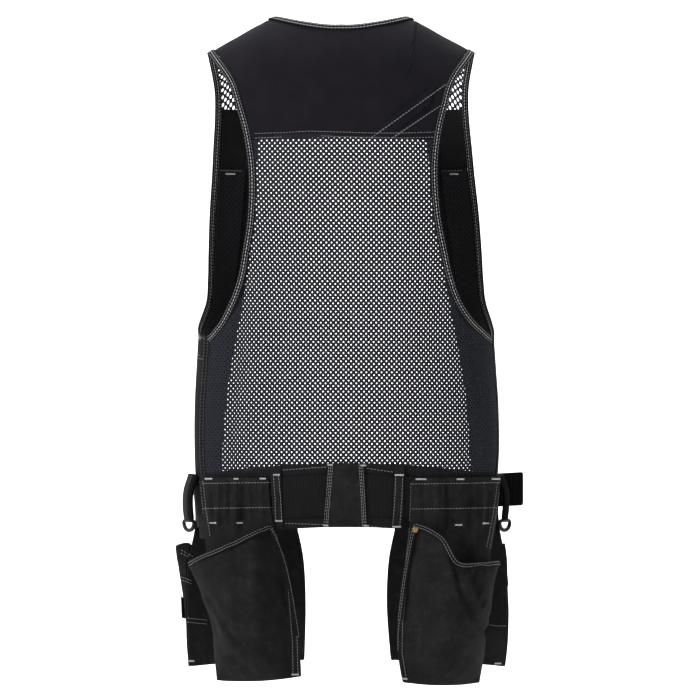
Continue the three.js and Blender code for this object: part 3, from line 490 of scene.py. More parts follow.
# The net back: one knitted sheet of staggered holes from the yoke to the waistband. A cell is a
# diamond of cloth with a hole in it, repeated by nodes on the flat net and then laid on the body.
NET_PITCH, NET_DROP, NET_THICK = 0.0059, 0.00635, 0.0011
NET_HOLE, NET_EDGE = 0.152, 0.0042


def net_finish():
    """The net's yarn: matt, with a little lint."""
    made, shader, wire, place = finish_named("net_yarn", 0.9, 0.0, 0.08)
    lint = speckle(wire, place, 700, 2.0)
    colour = shade(wire, lint, (0.007, 0.0076, 0.0105), (0.023, 0.0243, 0.031))
    connect(wire, shader, colour, None, lint, 0.4)
    return made


net_yarn = net_finish()


def gap_to(name):
    """The distance from a point to a plain solid."""
    bm = bmesh.new()
    bm.from_mesh(nodes[name].data)
    tree = BVHTree.FromBMesh(bm)
    bm.free()
    return lambda p: tree.find_nearest(Vector(p))[3]


def net_cell(name, share):
    """One diamond cell, 1 wide and 1 high, with a six-sided hole of the given size."""
    corners = [(0.5, 0), (0, 0.5), (-0.5, 0), (0, -0.5)]
    hole = [(share * math.cos(math.radians(t)), share * math.sin(math.radians(t)))
            for t in (30, 90, 150, 210, 270, 330)]
    points = [(x, y, 0) for x, y in corners + hole]
    faces = [(0, 1, 5, 4), (1, 2, 6, 5), (2, 7, 6), (2, 3, 8, 7), (3, 0, 9, 8), (0, 4, 9)]
    cell = new_object(name, points, faces)
    bpy.context.collection.objects.unlink(cell)
    return cell


def repeat_tree(name, inputs, result, kinds, wires, settings):
    """A node tree with named inputs. A wire runs from a node's output to another node's input."""
    tree = bpy.data.node_groups.new(name, "GeometryNodeTree")
    for label, kind in inputs.items():
        tree.interface.new_socket(label, in_out="INPUT", socket_type="NodeSocket" + kind)
    tree.interface.new_socket(result, in_out="OUTPUT", socket_type="NodeSocketGeometry")
    made = {label: tree.nodes.new(kind) for label, kind in kinds.items()}
    made["given"], made["result"] = tree.nodes.new("NodeGroupInput"), tree.nodes.new("NodeGroupOutput")
    for label, values in settings.items():
        for key, value in values.items():
            setattr(made[label], key, value)
    for giver, output, taker, entry in wires:
        tree.links.new(made[giver].outputs[output], made[taker].inputs[entry])
    return tree, made


def from_nodes(made, tree, values):
    """Runs a node tree on an object and keeps its result as a plain mesh."""
    repeat = made.modifiers.new("repeat", "NODES")
    repeat.node_group = tree
    for item in tree.interface.items_tree:
        if item.in_out == "INPUT" and item.name in values:
            repeat[item.identifier] = values[item.name]
    made.data.update()
    plain = bpy.data.meshes.new_from_object(made.evaluated_get(bpy.context.evaluated_depsgraph_get()))
    made.modifiers.clear()
    made.data = plain
    return made


def shell(points, faces, normals, half):
    """A thin closed wall round an open sheet: its two faces and its rims."""
    count = len(points)
    both = np.concatenate([points + normals * half, points - normals * half])
    uses = {}
    for f in faces:
        for a, b in zip(f, f[1:] + f[:1]):
            uses[(a, b)] = uses.get((a, b), 0) + 1
    rims = [(a, b) for a, b in uses if (b, a) not in uses]
    walls = [tuple(f) for f in faces] + [tuple(i + count for i in reversed(f)) for f in faces]
    walls += [(b, a, a + count, b + count) for a, b in rims]
    return both, walls


def lay_net(name, centres, cell, size, wrap, near, folds=()):
    """Lays the cells whose middles are on the piece, and gives the sheet its thickness."""
    spots = wrap(centres[:, 0], centres[:, 1])[0]
    keep = [k for k, p in enumerate(spots) if near(p) < NET_EDGE]
    flat = new_object(name, [(a, b, 0) for a, b in centres[keep]], [])
    from_nodes(flat, staggered_net, {"Cell": cell, "Cell Size": size, "Yarn": net_yarn})
    places = coordinates(flat.data)
    faces = [tuple(p.vertices) for p in flat.data.polygons]
    points, normals = wrap(places[:, 0], places[:, 1])
    if len(folds):
        points = points + away(points) * crease(points, folds)[:, None]
    face = faces[0]
    turned = np.cross(points[face[1]] - points[face[0]], points[face[2]] - points[face[1]])
    if turned @ normals[face[0]] < 0:
        faces = [f[::-1] for f in faces]
    both, walls = shell(points, faces, normals, NET_THICK / 2)
    old = flat.data
    flat.name = name + "_flat"
    made = new_object(name, both, walls, smooth=False)
    bpy.data.objects.remove(flat)
    bpy.data.meshes.remove(old)
    made.data.materials.append(net_yarn)
    return made


def staggered(from_a, to_a, from_b, to_b, pitch, drop):
    rows = np.arange(math.floor(from_b / (drop / 2)), math.ceil(to_b / (drop / 2)))
    columns = np.arange(math.floor(from_a / pitch), math.ceil(to_a / pitch))
    return np.array([((i + (j % 2) / 2) * pitch, j * drop / 2) for j in rows for i in columns])


staggered_net, net_steps = repeat_tree(
    "staggered_net",
    {"Places": "Geometry", "Cell": "Object", "Cell Size": "Vector", "Yarn": "Material"}, "Net",
    {"cell": "GeometryNodeObjectInfo", "spread": "GeometryNodeInstanceOnPoints",
     "real": "GeometryNodeRealizeInstances", "merge": "GeometryNodeMergeByDistance",
     "paint": "GeometryNodeSetMaterial"},
    [("given", "Cell", "cell", "Object"), ("given", "Places", "spread", "Points"),
     ("cell", "Geometry", "spread", "Instance"), ("given", "Cell Size", "spread", "Scale"),
     ("spread", "Instances", "real", "Geometry"), ("real", "Geometry", "merge", "Geometry"),
     ("merge", "Geometry", "paint", "Geometry"), ("given", "Yarn", "paint", "Material"),
     ("paint", "Geometry", "result", "Net")],
    {},
)
net_steps["merge"].inputs["Distance"].default_value = 2e-5
net_hole = net_cell("net_cell", NET_HOLE)
turns = np.linspace(-1.5, 1.5, 1201)
ring = on_body(turns, -0.3)
lengths = np.concatenate([[0], np.cumsum(np.linalg.norm(np.diff(ring, axis=0), axis=1))])
lengths -= np.interp(0, turns, lengths)


def on_back(s, z):
    angle = np.interp(s, lengths, turns)
    points = on_body(angle, z)
    return points, normal_of(on_body, angle, z, 0.004, 0.001, away(points))


NET_FOLDS = [(242, 286, 228, 442, 9, -3.5), (466, 320, 488, 465, 9, -3.5), (262, 300, 250, 440, 14, 2.0),
             (450, 330, 462, 450, 14, 2.0), (300, 150, 292, 300, 22, 1.2), (395, 160, 402, 330, 24, 1.2)]
net_centres = staggered(-0.21, 0.23, -0.53, -0.11, NET_PITCH, NET_DROP)
back_net = lay_net("back_net_knitted", net_centres, net_hole, (NET_PITCH, NET_DROP, 1), on_back,
                   gap_to("back_net"), NET_FOLDS)
sew_in(back_net, "net_mesh", net_yarn, "back_net")


# The open net at the front of each shoulder, seen through the armholes: the same knit with larger
# holes, sewn between the yoke's front seam and the chest band.
OPEN_PITCH, OPEN_DROP, OPEN_HOLE = 0.0062, 0.0066, 0.27


def on_front_top(side):
    def wrap(x, reach):
        points = on_shoulder(side * x, -reach)
        normals = normal_of(lambda a, b: on_shoulder(side * a, -b), x, reach, 0.002, 0.002, away(points))
        return points, normals
    return wrap


open_hole = net_cell("open_net_cell", OPEN_HOLE)
for hand, side in (("left", -1), ("right", 1)):
    name = f"front_net_top_{hand}"
    spots = staggered(0.05, 0.19, 0.01, 0.13, OPEN_PITCH, OPEN_DROP)
    made = lay_net(name + "_knitted", spots, open_hole, (OPEN_PITCH, OPEN_DROP, 1), on_front_top(side),
                   gap_to(name))
    sew_in(made, "net_mesh", net_yarn, name)


# The fronts: a cloth band over the chest, the lower panel with a net liner behind it, and the taped
# edge of the opening. They are sewn to the yoke at the shoulders and to the back at the side seams.
band_cloth = woven("band_cloth", (0.0060, 0.0060, 0.0068), (0.0150, 0.0146, 0.0162), 0.0011, 0.15)
binding_cloth = woven("binding_cloth", (0.0040, 0.0040, 0.0046), (0.0140, 0.0140, 0.0155), 0.0009, 0.2)


def backed_net_finish():
    """Net lying on cloth: staggered dimples in the net's own pitch, painted dark as the shade in the net's
    holes.
    """
    made, shader, wire, place = finish_named("backed_net", 0.92, 0.0, 0.05)
    z = wire.node("ShaderNodeSeparateXYZ", output=2, Vector=place)
    along = wire.node("ShaderNodeAttribute", {"attribute_name": "along"}, output=2)
    pitch, drop = 0.00575, 0.0062
    slope = pitch / drop
    one, other = (along + z * slope).wave(pitch), (along - z * slope).wave(pitch)
    dimple_and_shade = (one * other).above(0.45, 0.8)
    lint = speckle(wire, place, 500, 2.0)
    # The dimples' dark colour is painted shade in the holes over the cloth.
    mask = (1 - dimple_and_shade) * 0.6 + lint * 0.4
    connect(wire, shader, shade(wire, mask, (0.0015, 0.0015, 0.002), (0.017, 0.017, 0.019)), None,
            1 - dimple_and_shade, 0.8, 0.0008)
    return made


backed_net = backed_net_finish()
for hand in ("left", "right"):
    band = cloth(f"chest_band_{hand}", "yoke_cloth", band_cloth, 3, (), 0.0009, 0.04, 5.0, 0.0014)
    panel = cloth(f"front_panel_{hand}", "yoke_cloth", band_cloth, 3, (), 0.0016, 0.07, 7.0, 0.0014)
    liner = cloth(f"front_liner_{hand}", "net_mesh", backed_net, 3, (), 0.0016, 0.07, 7.0, 0.0014)
    edge = cloth(f"front_edge_{hand}", "binding", binding_cloth, 2, (), 0.0009, 0.06, 5.0)


# Bound edges: a folded strip sewn round the neck and both armholes, with rows of running stitch.
armhole_down = (0.05, 0.157, 0.25, 0.34, 0.458, 0.6, 0.72, 0.8, 0.888, 0.949, 0.98, 1.0)
armhole_back = smooth_curve(armhole_down, (53.2, 42.1, 38, 35.2, 33.7, 35, 38.3, 41.2, 47.3, 51.5, 56, 60))
armhole_front = smooth_curve(
    armhole_down, (126.8, 129.8, 129.7, 128.6, 127, 123.6, 120.6, 118.2, 112.5, 105, 96, 80)
)
to_seam = smooth_curve(armhole_down, (0, 0, 0, 0, 0, 0, 0, 0, 0, 0.2, 0.55, 1))
SEAM_ANGLE = {-1: 64, 1: 78}
BINDING_WIDTH, BINDING_THICK = 0.0095, 0.0028


def armhole_loop(side, count):
    """The armhole's edge: up the back, over the shoulder and down the front to the side seam."""
    turn = np.arange(count) * 2 / count
    down = mix(0.05, 1, np.abs(turn - 1) ** 1.6)
    z = -down * ARMHOLE_DEPTH
    which = np.where(turn < 1, armhole_back(down), armhole_front(down))
    angle = side * np.radians(mix(which, SEAM_ANGLE[side], to_seam(down)))
    x = across_at(angle, z)
    reach = np.where(turn < 1, 1, -1) * reach_at(x, z)
    arched = np.abs(reach) < SHOULDER_DEPTH
    top, low = on_shoulder(x, reach), on_body(angle, z)
    points = np.where(arched[:, None], top, low)
    top_n = normal_of(on_shoulder, x, reach, 0.001, 0.001, away(top))
    low_n = normal_of(on_body, angle, z, 0.006, 0.001, away(low))
    return points, np.where(arched[:, None], top_n, low_n)


def loop_across(points, normals, closed, toward=None):
    ahead, behind = np.roll(points, -1, axis=0), np.roll(points, 1, axis=0)
    if not closed:
        ahead[-1], behind[0] = points[-1], points[0]
    across = unit(np.cross(ahead - behind, normals))
    if toward is not None:
        flip = np.sum(across * (toward - points), axis=1, keepdims=True) > 0
        across = np.where(flip, -across, across)
    return across


def settle(points, closed, passes):
    """Evens out a path, so that no step of it shows."""
    for _ in range(passes):
        ahead, behind = np.roll(points, -1, axis=0), np.roll(points, 1, axis=0)
        even = points * 0.5 + ahead * 0.25 + behind * 0.25
        if not closed:
            even[0], even[-1] = points[0], points[-1]
        points = even
    return points


def folded_strip(name, points, normals, across, width, thick, closed):
    """A strip with rounded folds along both its edges."""
    profile = []
    for k in range(14):
        t = k / 14 * 2 * math.pi
        c, s = math.cos(t), math.sin(t)
        profile.append((width / 2 * (1 + math.copysign(abs(c) ** 0.45, c)),
                        thick / 2 * math.copysign(abs(s) ** 0.7, s)))
    rings = [points + across * a + normals * b for a, b in profile]
    around, count = len(profile), len(points)
    flat = np.stack(rings, axis=1).reshape(-1, 3)
    faces = []
    for k in range(count if closed else count - 1):
        after = (k + 1) % count
        faces += [(k * around + i, k * around + (i + 1) % around, after * around + (i + 1) % around,
                   after * around + i) for i in range(around)]
    if not closed:
        faces += [tuple(reversed(range(around))), tuple((count - 1) * around + i for i in range(around))]
    made = new_object(name, flat, faces)
    bm = bmesh.new()
    bm.from_mesh(made.data)
    bmesh.ops.recalc_face_normals(bm, faces=bm.faces)
    bm.to_mesh(made.data)
    bm.free()
    return made


# Sewing thread is repeated along a path by nodes: a short rounded stitch each pitch, laid along the
# path and flat on the cloth.
def thread_shape():
    """One stitch, 1 long, 1 wide and 1 high, rounded at both ends."""
    sides, rows = 6, [(-0.5, 0.0), (-0.38, 0.36), (0.0, 0.5), (0.38, 0.36), (0.5, 0.0)]
    points, faces = [(-0.5, 0, 0)], []
    for x, r in rows[1:-1]:
        points += [(x, r * math.cos(i / sides * 2 * math.pi), r * math.sin(i / sides * 2 * math.pi))
                   for i in range(sides)]
    points.append((0.5, 0, 0))
    for i in range(sides):
        j = (i + 1) % sides
        faces.append((0, 1 + j, 1 + i))
        for k in (0, 1):
            a = 1 + k * sides
            faces.append((a + i, a + j, a + sides + j, a + sides + i))
        a = 1 + 2 * sides
        faces.append((a + i, a + j, len(points) - 1))
    made = new_object("stitch", points, faces)
    bpy.context.collection.objects.unlink(made)
    return made


def thread_finish(name, dark, pale):
    """Sewing thread: two plies twisted together."""
    made, shader, wire, place = finish_named(name, 0.7, 0.1, 0.35)
    ply = speckle(wire, place, 1500, 2.0)
    connect(wire, shader, shade(wire, ply, dark, pale), None, ply, 0.4, 0.0003)
    return made


one_stitch = thread_shape()
running_stitch, _ = repeat_tree(
    "running_stitch",
    {"Path": "Geometry", "Stitch": "Object", "Pitch": "Float", "Stitch Size": "Vector",
     "Thread": "Material"}, "Stitches",
    {"curve": "GeometryNodeMeshToCurve", "steps": "GeometryNodeResampleCurve",
     "shape": "GeometryNodeObjectInfo", "spread": "GeometryNodeInstanceOnPoints",
     "tangent": "GeometryNodeInputTangent", "name": "FunctionNodeInputString",
     "outward": "GeometryNodeInputNamedAttribute", "lay": "FunctionNodeAlignRotationToVector",
     "face_out": "FunctionNodeAlignRotationToVector", "real": "GeometryNodeRealizeInstances",
     "paint": "GeometryNodeSetMaterial"},
    [("given", "Path", "curve", "Mesh"), ("curve", "Curve", "steps", "Curve"),
     ("given", "Pitch", "steps", "Length"), ("given", "Stitch", "shape", "Object"),
     ("steps", "Curve", "spread", "Points"), ("shape", "Geometry", "spread", "Instance"),
     ("tangent", "Tangent", "lay", "Vector"), ("lay", "Rotation", "face_out", "Rotation"),
     ("name", "String", "outward", "Name"), ("outward", "Attribute", "face_out", "Vector"),
     ("face_out", "Rotation", "spread", "Rotation"), ("given", "Stitch Size", "spread", "Scale"),
     ("spread", "Instances", "real", "Geometry"), ("real", "Geometry", "paint", "Geometry"),
     ("given", "Thread", "paint", "Material"), ("paint", "Geometry", "result", "Stitches")],
    {"steps": {"mode": "LENGTH"}, "outward": {"data_type": "FLOAT_VECTOR"}, "name": {"string": "outward"},
     "lay": {"axis": "X"}, "face_out": {"axis": "Z", "pivot_axis": "X"}},
)


def stitches(name, paths, pitch, size, thread, slot="binding"):
    """Rows of stitches along paths, each a list of points with their outward directions."""
    points, edges, outward = [], [], []
    for path, normals in paths:
        start = len(points)
        points += [tuple(p) for p in path]
        outward += [tuple(n) for n in normals]
        edges += [(start + k, start + k + 1) for k in range(len(path) - 1)]
    mesh = bpy.data.meshes.new(name)
    mesh.from_pydata(points, edges, [])
    layer = mesh.attributes.new("outward", "FLOAT_VECTOR", "POINT")
    layer.data.foreach_set("vector", np.array(outward, np.float32).ravel())
    made = bpy.data.objects.new(name, mesh)
    bpy.context.collection.objects.link(made)
    from_nodes(made, running_stitch,
               {"Stitch": one_stitch, "Pitch": pitch, "Stitch Size": size, "Thread": thread})
    return sew_in(made, slot, thread)


# The armholes' bindings, each a closed folded strip, with a bright row of stitches between two dim
# ones on both faces.
pale_thread = thread_finish("pale_thread", (0.30, 0.30, 0.31), (0.62, 0.62, 0.64))
grey_thread = thread_finish("grey_thread", (0.11, 0.11, 0.12), (0.27, 0.27, 0.28))
BRIGHT_PITCH, DIM_PITCH, SEAM_PITCH = 0.0042, 0.0038, 0.0036
BRIGHT, DIM = (0.0033, 0.00095, 0.0006), (0.0029, 0.0007, 0.0005)
for hand, side in (("left", -1), ("right", 1)):
    points, normals = armhole_loop(side, 420)
    points = settle(points, True, 6)
    normals = unit(settle(normals, True, 10))
    middle = np.array([side * CHEST_WIDTH, 0, -ARMHOLE_DEPTH / 2])
    across = unit(settle(loop_across(points, normals, True, middle), True, 6))
    made = folded_strip(f"armhole_bound_{hand}", points, normals, across, BINDING_WIDTH, BINDING_THICK, True)
    sew_in(made, "binding", binding_cloth, f"armhole_binding_{hand}")
    skin = points + normals * (BINDING_THICK / 2)
    closed = lambda p: np.concatenate([p, p[:1]])
    lining = points - normals * (BINDING_THICK / 2)
    row = lambda share: (closed(skin + across * (BINDING_WIDTH * share)), closed(normals))
    inner_row = lambda share: (closed(lining + across * (BINDING_WIDTH * share)), closed(-normals))
    stitches(f"armhole_bright_{hand}", [row(0.5), inner_row(0.5)], BRIGHT_PITCH, BRIGHT, pale_thread)
    dim_rows = [row(0.2), row(0.8), inner_row(0.2), inner_row(0.8)]
    stitches(f"armhole_dim_{hand}", dim_rows, DIM_PITCH, DIM, grey_thread)


# The side seams, from the foot of each armhole to the waistband: a flat tape sewn over the two
# cloths, and a short stay of cloth across it under the armhole.
dim_thread = thread_finish("dim_thread", (0.045, 0.045, 0.05), (0.13, 0.13, 0.14))
TAPE_WIDTH, TAPE_THICK, TAPE_ROW_OFF = 0.011, 0.0024, 0.0035
STAY_DEEP, STAY_THICK, STAY_BACK, STAY_FRONT = 0.023, 0.002, -0.07, 0.17
DOWN = np.tile([0, 0, -1.0], (40, 1))
for hand, side in (("left", -1), ("right", 1)):
    z = np.linspace(-ARMHOLE_DEPTH + 0.004, -TO_BELT - 0.020, 60)
    angle = np.full(60, side * math.radians(SEAM_ANGLE[side]))
    points = on_body(angle, z)
    normals = normal_of(on_body, angle, z, 0.006, 0.001, away(points))
    across = loop_across(points, normals, False)
    edge = points - across * (TAPE_WIDTH / 2)
    tape = folded_strip(f"side_seam_{hand}", edge, normals, across, TAPE_WIDTH, TAPE_THICK, False)
    sew_in(tape, "binding", binding_cloth)
    skin = points + normals * (TAPE_THICK / 2)
    seam = [(skin + across * off, normals) for off in (-TAPE_ROW_OFF, TAPE_ROW_OFF)]
    stitches(f"side_seam_rows_{hand}", seam, DIM_PITCH, (0.0027, 0.0006, 0.0005), dim_thread)
    spread = side * (math.radians(SEAM_ANGLE[side]) + np.linspace(STAY_BACK, STAY_FRONT, 40))
    top = np.full(40, -ARMHOLE_DEPTH + 0.001)
    points = on_body(spread, top)
    normals = normal_of(on_body, spread, top, 0.006, 0.001, away(points))
    stay = folded_strip(f"side_stay_{hand}", points, normals, DOWN, STAY_DEEP, STAY_THICK, False)
    sew_in(stay, "yoke_cloth", band_cloth)


# The neck's binding, a folded strip round the back of the neck whose ends turn over the shoulders to
# the front, with two rows of pale stitches.
NECK_REACH, WRAP_FRONT = 0.054, 0.022
share = np.linspace(-1, 1, 141)
turned = np.minimum(np.abs(share) / 0.8, 1) * math.pi / 2
past = np.clip((np.abs(share) - 0.8) / 0.2, 0, 1)
neck_x = np.sign(share) * NECK_WIDTH / 2 * np.sin(turned)
neck_reach = NECK_REACH * np.cos(turned) - WRAP_FRONT * past
neck_points = on_shoulder(neck_x, neck_reach)
neck_normals = normal_of(on_shoulder, neck_x, neck_reach, 0.001, 0.001, away(neck_points))
neck_across = loop_across(neck_points, neck_normals, False)
neck = folded_strip("neck_bound", neck_points, neck_normals, neck_across, BINDING_WIDTH, BINDING_THICK,
                    False)
sew_in(neck, "binding", binding_cloth, "neck_binding")
neck_skin = neck_points + neck_normals * (BINDING_THICK / 2)
stitches("neck_stitches", [(neck_skin + neck_across * BINDING_WIDTH * k, neck_normals) for k in (0.3, 0.75)],
         BRIGHT_PITCH, BRIGHT, pale_thread)


# The waistband with its ribbed webbing belt, the stitched patch at the centre, the two narrow loops
# that hold the belt, the clasp in front and the belt's free end.
pocket_cloth = woven("pocket_cloth", (0.0040, 0.0040, 0.0043), (0.0185, 0.0185, 0.0198), 0.0016, 0.6,
                     0.5, 0.8)
STRAP_SWELL, RING_SWELL = 0.0019, 0.0006


def webbing_finish():
    """Woven webbing: close upright ribs with a painted highlight on each crown and painted shade in the
    valleys between, and a fine grain over them.
    """
    made, shader, wire, place = finish_named("ribbed_webbing", 0.8, 0.0, 0.10)
    along = wire.node("ShaderNodeAttribute", {"attribute_name": "along"}, output=2)
    z = wire.node("ShaderNodeSeparateXYZ", output=2, Vector=place)
    rib_pitch, pick_pitch = 0.0024, 0.0012
    rib_and_highlight = along.wave(rib_pitch)
    stagger = (z + rib_and_highlight * 0.0004).wave(pick_pitch)
    grain = speckle(wire, place, 1100, 2.0)
    # The ribs' light crowns and dark valleys in this colour are a painted highlight and painted shade.
    mask = rib_and_highlight * 0.55 + stagger * 0.15 + grain * 0.3
    connect(wire, shader, shade(wire, mask, (0.002, 0.002, 0.0022), (0.013, 0.0125, 0.0135)), None,
            rib_and_highlight + stagger * 0.3, 0.9, 0.0007)
    return made


def plastic_finish():
    """Moulded plastic: satin, with a fine grain and faint scuffs."""
    made, shader, wire, place = finish_named("moulded_plastic", 0.45, 0.0, 0.22)
    scuff = speckle(wire, place, 160, 5.0)
    grain = speckle(wire, place, 1600, 1.0)
    connect(wire, shader, shade(wire, scuff, (0.006, 0.006, 0.0065), (0.016, 0.016, 0.017)),
            scuff * 0.3 + 0.34, grain, 0.15, 0.0003)
    return made


ribbed_webbing, moulded_plastic = webbing_finish(), plastic_finish()
waistband = cloth("waistband", "yoke_cloth", band_cloth, 3,
                  [(300, 466, 320, 468, 6, 0.6), (215, 500, 220, 528, 5, -0.8)], 0.0007, 0.03, 2.0)
webbing = cloth("belt_webbing", "webbing", ribbed_webbing, 3, (), 0.0004, 0.03, 4.0)
patch = cloth("centre_patch", "pocket_cloth", pocket_cloth, 3, [(346, 470, 344, 520, 14, 0.5)],
              0.0004, 0.02, 1.0)
for hand in ("left", "right"):
    loop = cloth(f"belt_loop_{hand}", "pocket_cloth", pocket_cloth, 3)
tail = cloth("belt_tail", "webbing", ribbed_webbing, 3)
for hand in ("left", "right"):
    strap = cloth(f"side_strap_{hand}", "webbing", ribbed_webbing, 2)
    swell(strap, STRAP_SWELL)
    ring_piece = finer(f"d_ring_{hand}", 2, 180)
    swell(ring_piece, RING_SWELL)
    sew_in(ring_piece, "plastic", moulded_plastic, f"d_ring_{hand}")
clasp = nodes["buckle"]
clasp.data.materials.clear()
clasp.data.materials.append(moulded_plastic)


# The hanging pockets: heavy cloth panels with puckers under the belt, and pouches that stand out and
# crease. Their folds are laid in by the photo. The right pouch's inner corner has a brass rivet.
PANEL_FOLDS = {
    "left": [(219, 486, 217, 520, 3.2, 4.0), (236, 486, 236, 522, 2.6, 3.4), (249, 486, 250, 520, 2.8, 3.0),
             (228, 488, 227, 522, 2.8, -4.2), (243, 488, 242, 522, 2.6, -3.6), (262, 488, 262, 516, 3, 2.0),
             (209, 492, 212, 530, 3.0, -2.4), (222, 522, 230, 546, 4, -2.0)],
    "right": [(437, 488, 436, 524, 3.4, 3.8), (448, 488, 447, 524, 2.8, -4.4),
              (460, 488, 459, 524, 3.0, 4.0), (471, 488, 470, 524, 3.0, -4.0),
              (483, 488, 482, 522, 2.8, 3.4), (424, 488, 426, 520, 4, -2.4), (492, 492, 488, 530, 3.0, -3.0),
              (455, 522, 462, 548, 3.2, -3.2), (474, 520, 474, 556, 3.4, 2.6)],
}
POUCH_FOLDS = {
    "left": [(258, 545, 262, 660, 11, 5.0), (205, 602, 230, 634, 5, 3.0),
             (228, 575, 222, 600, 9, -2.5), (282, 585, 286, 660, 5, -3.0), (244, 654, 276, 662, 7, 3.0),
             (236, 560, 240, 620, 8, -2.6), (222, 650, 250, 668, 6, -2.5)],
    "right": [(430, 545, 440, 650, 12, 4.0), (416, 590, 412, 660, 8, -3.0), (480, 572, 484, 612, 9, 6.5),
              (445, 645, 472, 670, 8, -3.5), (452, 612, 466, 640, 8, 3.5), (420, 555, 428, 610, 7, -2.4)],
}
DEEP_FOLDS = {
    "left": [([(208, 596), (216, 612), (228, 628), (242, 644), (252, 650)], 4.5, -4.5),
             ([(194, 572), (206, 596), (213, 622), (217, 650)], 5.0, -2.5)],
    "right": [([(448, 546), (455, 564), (461, 588), (470, 612), (479, 629), (490, 640)], 4.6, -8.5),
              ([(462, 574), (470, 598), (480, 618), (490, 630)], 5.0, 5.5),
              ([(436, 600), (452, 628), (470, 650)], 8.0, 3.0)],
}
for hand in ("left", "right"):
    panel = cloth(f"rear_pocket_back_{hand}", "pocket_cloth", pocket_cloth, 3, PANEL_FOLDS[hand],
                  0.0014, 0.034, 11.0)
    pouch = cloth(f"rear_pouch_{hand}", "pocket_cloth", pocket_cloth, 3, POUCH_FOLDS[hand],
                  0.0034, 0.034, 11.0, lines=DEEP_FOLDS[hand])
    front = cloth(f"front_pocket_back_{hand}", "pocket_cloth", pocket_cloth, 3, (), 0.0014, 0.04, 17.0)
    front_pouch = cloth(f"front_pouch_{hand}", "pocket_cloth", pocket_cloth, 3, (), 0.0030, 0.04, 17.0)
tool_pocket = cloth("tool_pocket_left", "pocket_cloth", pocket_cloth, 3, (), 0.0012, 0.03, 17.0)
flap = cloth("tool_flap_left", "pocket_cloth", pocket_cloth, 3)
RIVET_SHIFT = np.array([-0.0012, -0.0022, 0.001])


def brass_finish():
    """Antiqued brass: patches rubbed bright and patches dull and brown, spread at random."""
    made, shader, wire, place = finish_named("antique_brass", 0.35, 0.0, 0.5, 1.0)
    patina = speckle(wire, place, 600, 5.0).above(0.35, 0.7)
    connect(wire, shader, shade(wire, patina, (0.16, 0.10, 0.045), (0.55, 0.40, 0.17)),
            patina * -0.25 + 0.55, patina, 0.2, 0.0003)
    return made


antique_brass = brass_finish()
rivet = finer("pocket_rivet", 2, 40)
rivet.data.vertices.foreach_set("co", (coordinates(rivet.data) + RIVET_SHIFT).ravel())
sew_in(rivet, "brass_rivet", antique_brass, "pocket_rivet")


# A pouch's mouth is bound with a folded strip and two rows of stitches, along the edge where the
# cloth begins.
def surface(made):
    """What a ray needs of some finished pieces: their points and faces in one tree."""
    points, faces = [], []
    for one in made:
        start = len(points)
        points += [v.co.copy() for v in one.data.vertices]
        faces += [[start + k for k in p.vertices] for p in one.data.polygons]
    return BVHTree.FromPolygons(points, faces)


def mouth_path(name, facing):
    """The top edge of a pouch, found by looking down it from its open side."""
    made = sewn[name]
    tree = surface([made])
    points = coordinates(made.data)
    low, high = points.min(0), points.max(0)
    path, normals = [], []
    for x in np.linspace(low[0] + MOUTH_MARGIN, high[0] - MOUTH_MARGIN, 72):
        for z in np.arange(high[2], high[2] - MOUTH_SEARCH, -MOUTH_STEP):
            start = Vector((x, facing * 0.6, z - MOUTH_DROP))
            spot, normal, _, _ = tree.ray_cast(start, Vector((0, -facing, 0)))
            if spot is not None and normal.y * facing > 0.05:
                path.append(spot + Vector((0, 0, MOUTH_DROP)))
                normals.append(normal)
                break
    return settle(np.array(path), False, 5), unit(settle(np.array(normals), False, 12))


MOUTH_WIDTH, MOUTH_THICK = 0.0075, 0.0032
MOUTH_MARGIN, MOUTH_DROP, MOUTH_SEARCH, MOUTH_STEP = 0.0012, 0.0015, 0.14, 0.0007
for name, facing in (("rear_pouch_left", -1), ("rear_pouch_right", -1), ("front_pouch_left", 1),
                     ("front_pouch_right", 1), ("tool_pocket_left", 1)):
    path, normals = mouth_path(name, facing)
    down = loop_across(path, normals, False)
    if down[:, 2].mean() > 0:
        down = -down
    start = path - down * 0.0012 - normals * 0.0006
    made = folded_strip(name + "_mouth", start, normals, down, MOUTH_WIDTH, MOUTH_THICK, False)
    sew_in(made, "pocket_cloth", binding_cloth)
    skin = start + normals * (MOUTH_THICK / 2)
    rows = [(skin + down * MOUTH_WIDTH * k, normals) for k in (0.3, 0.72)]
    stitches(name + "_mouth_rows", rows, SEAM_PITCH, DIM, grey_thread, "pocket_cloth")


# The rest of the sewing lies where the photo shows it: each row is followed from the camera on to
# the cloth. Thread is grey along the seams and nearly white where bars hold a loop or a pocket.
JUMP, LIFT = 0.006, 0.0004


def on_cloth(tree, row, step=1.2):
    """A row of photo places laid on the cloth, as far as it stays on one piece, with its outward
    directions."""
    row = np.array(row, float)
    run = np.concatenate([[0], np.cumsum(np.linalg.norm(np.diff(row, axis=0), axis=1))])
    at = np.linspace(0, run[-1], max(int(run[-1] / step), 2) + 1)
    path, normals = [], []
    for px, py in zip(np.interp(at, run, row[:, 0]), np.interp(at, run, row[:, 1])):
        look = Vector(((px - PHOTO_WIDE / 2) / FOCAL, 1, (PHOTO_WIDE / 2 - py) / FOCAL)).normalized()
        spot, normal, _, _ = tree.ray_cast(eye, look)
        if spot is not None:
            path.append(spot - look * LIFT)
            normals.append(normal if normal.dot(look) < 0 else -normal)
    path, normals = np.array(path), np.array(normals)
    if len(path) < 2:
        return path, normals
    jumps = np.flatnonzero(np.linalg.norm(np.diff(path, axis=0), axis=1) > JUMP) + 1
    whole = max(np.split(np.arange(len(path)), jumps), key=len)
    return path[whole], normals[whole]


def beside(row, off):
    """The same row moved to its right by some pixels, looking along it."""
    row = np.array(row, float)
    way = np.gradient(row, axis=0)
    way /= np.linalg.norm(way, axis=1, keepdims=True)
    return row + np.stack([-way[:, 1], way[:, 0]], 1) * off


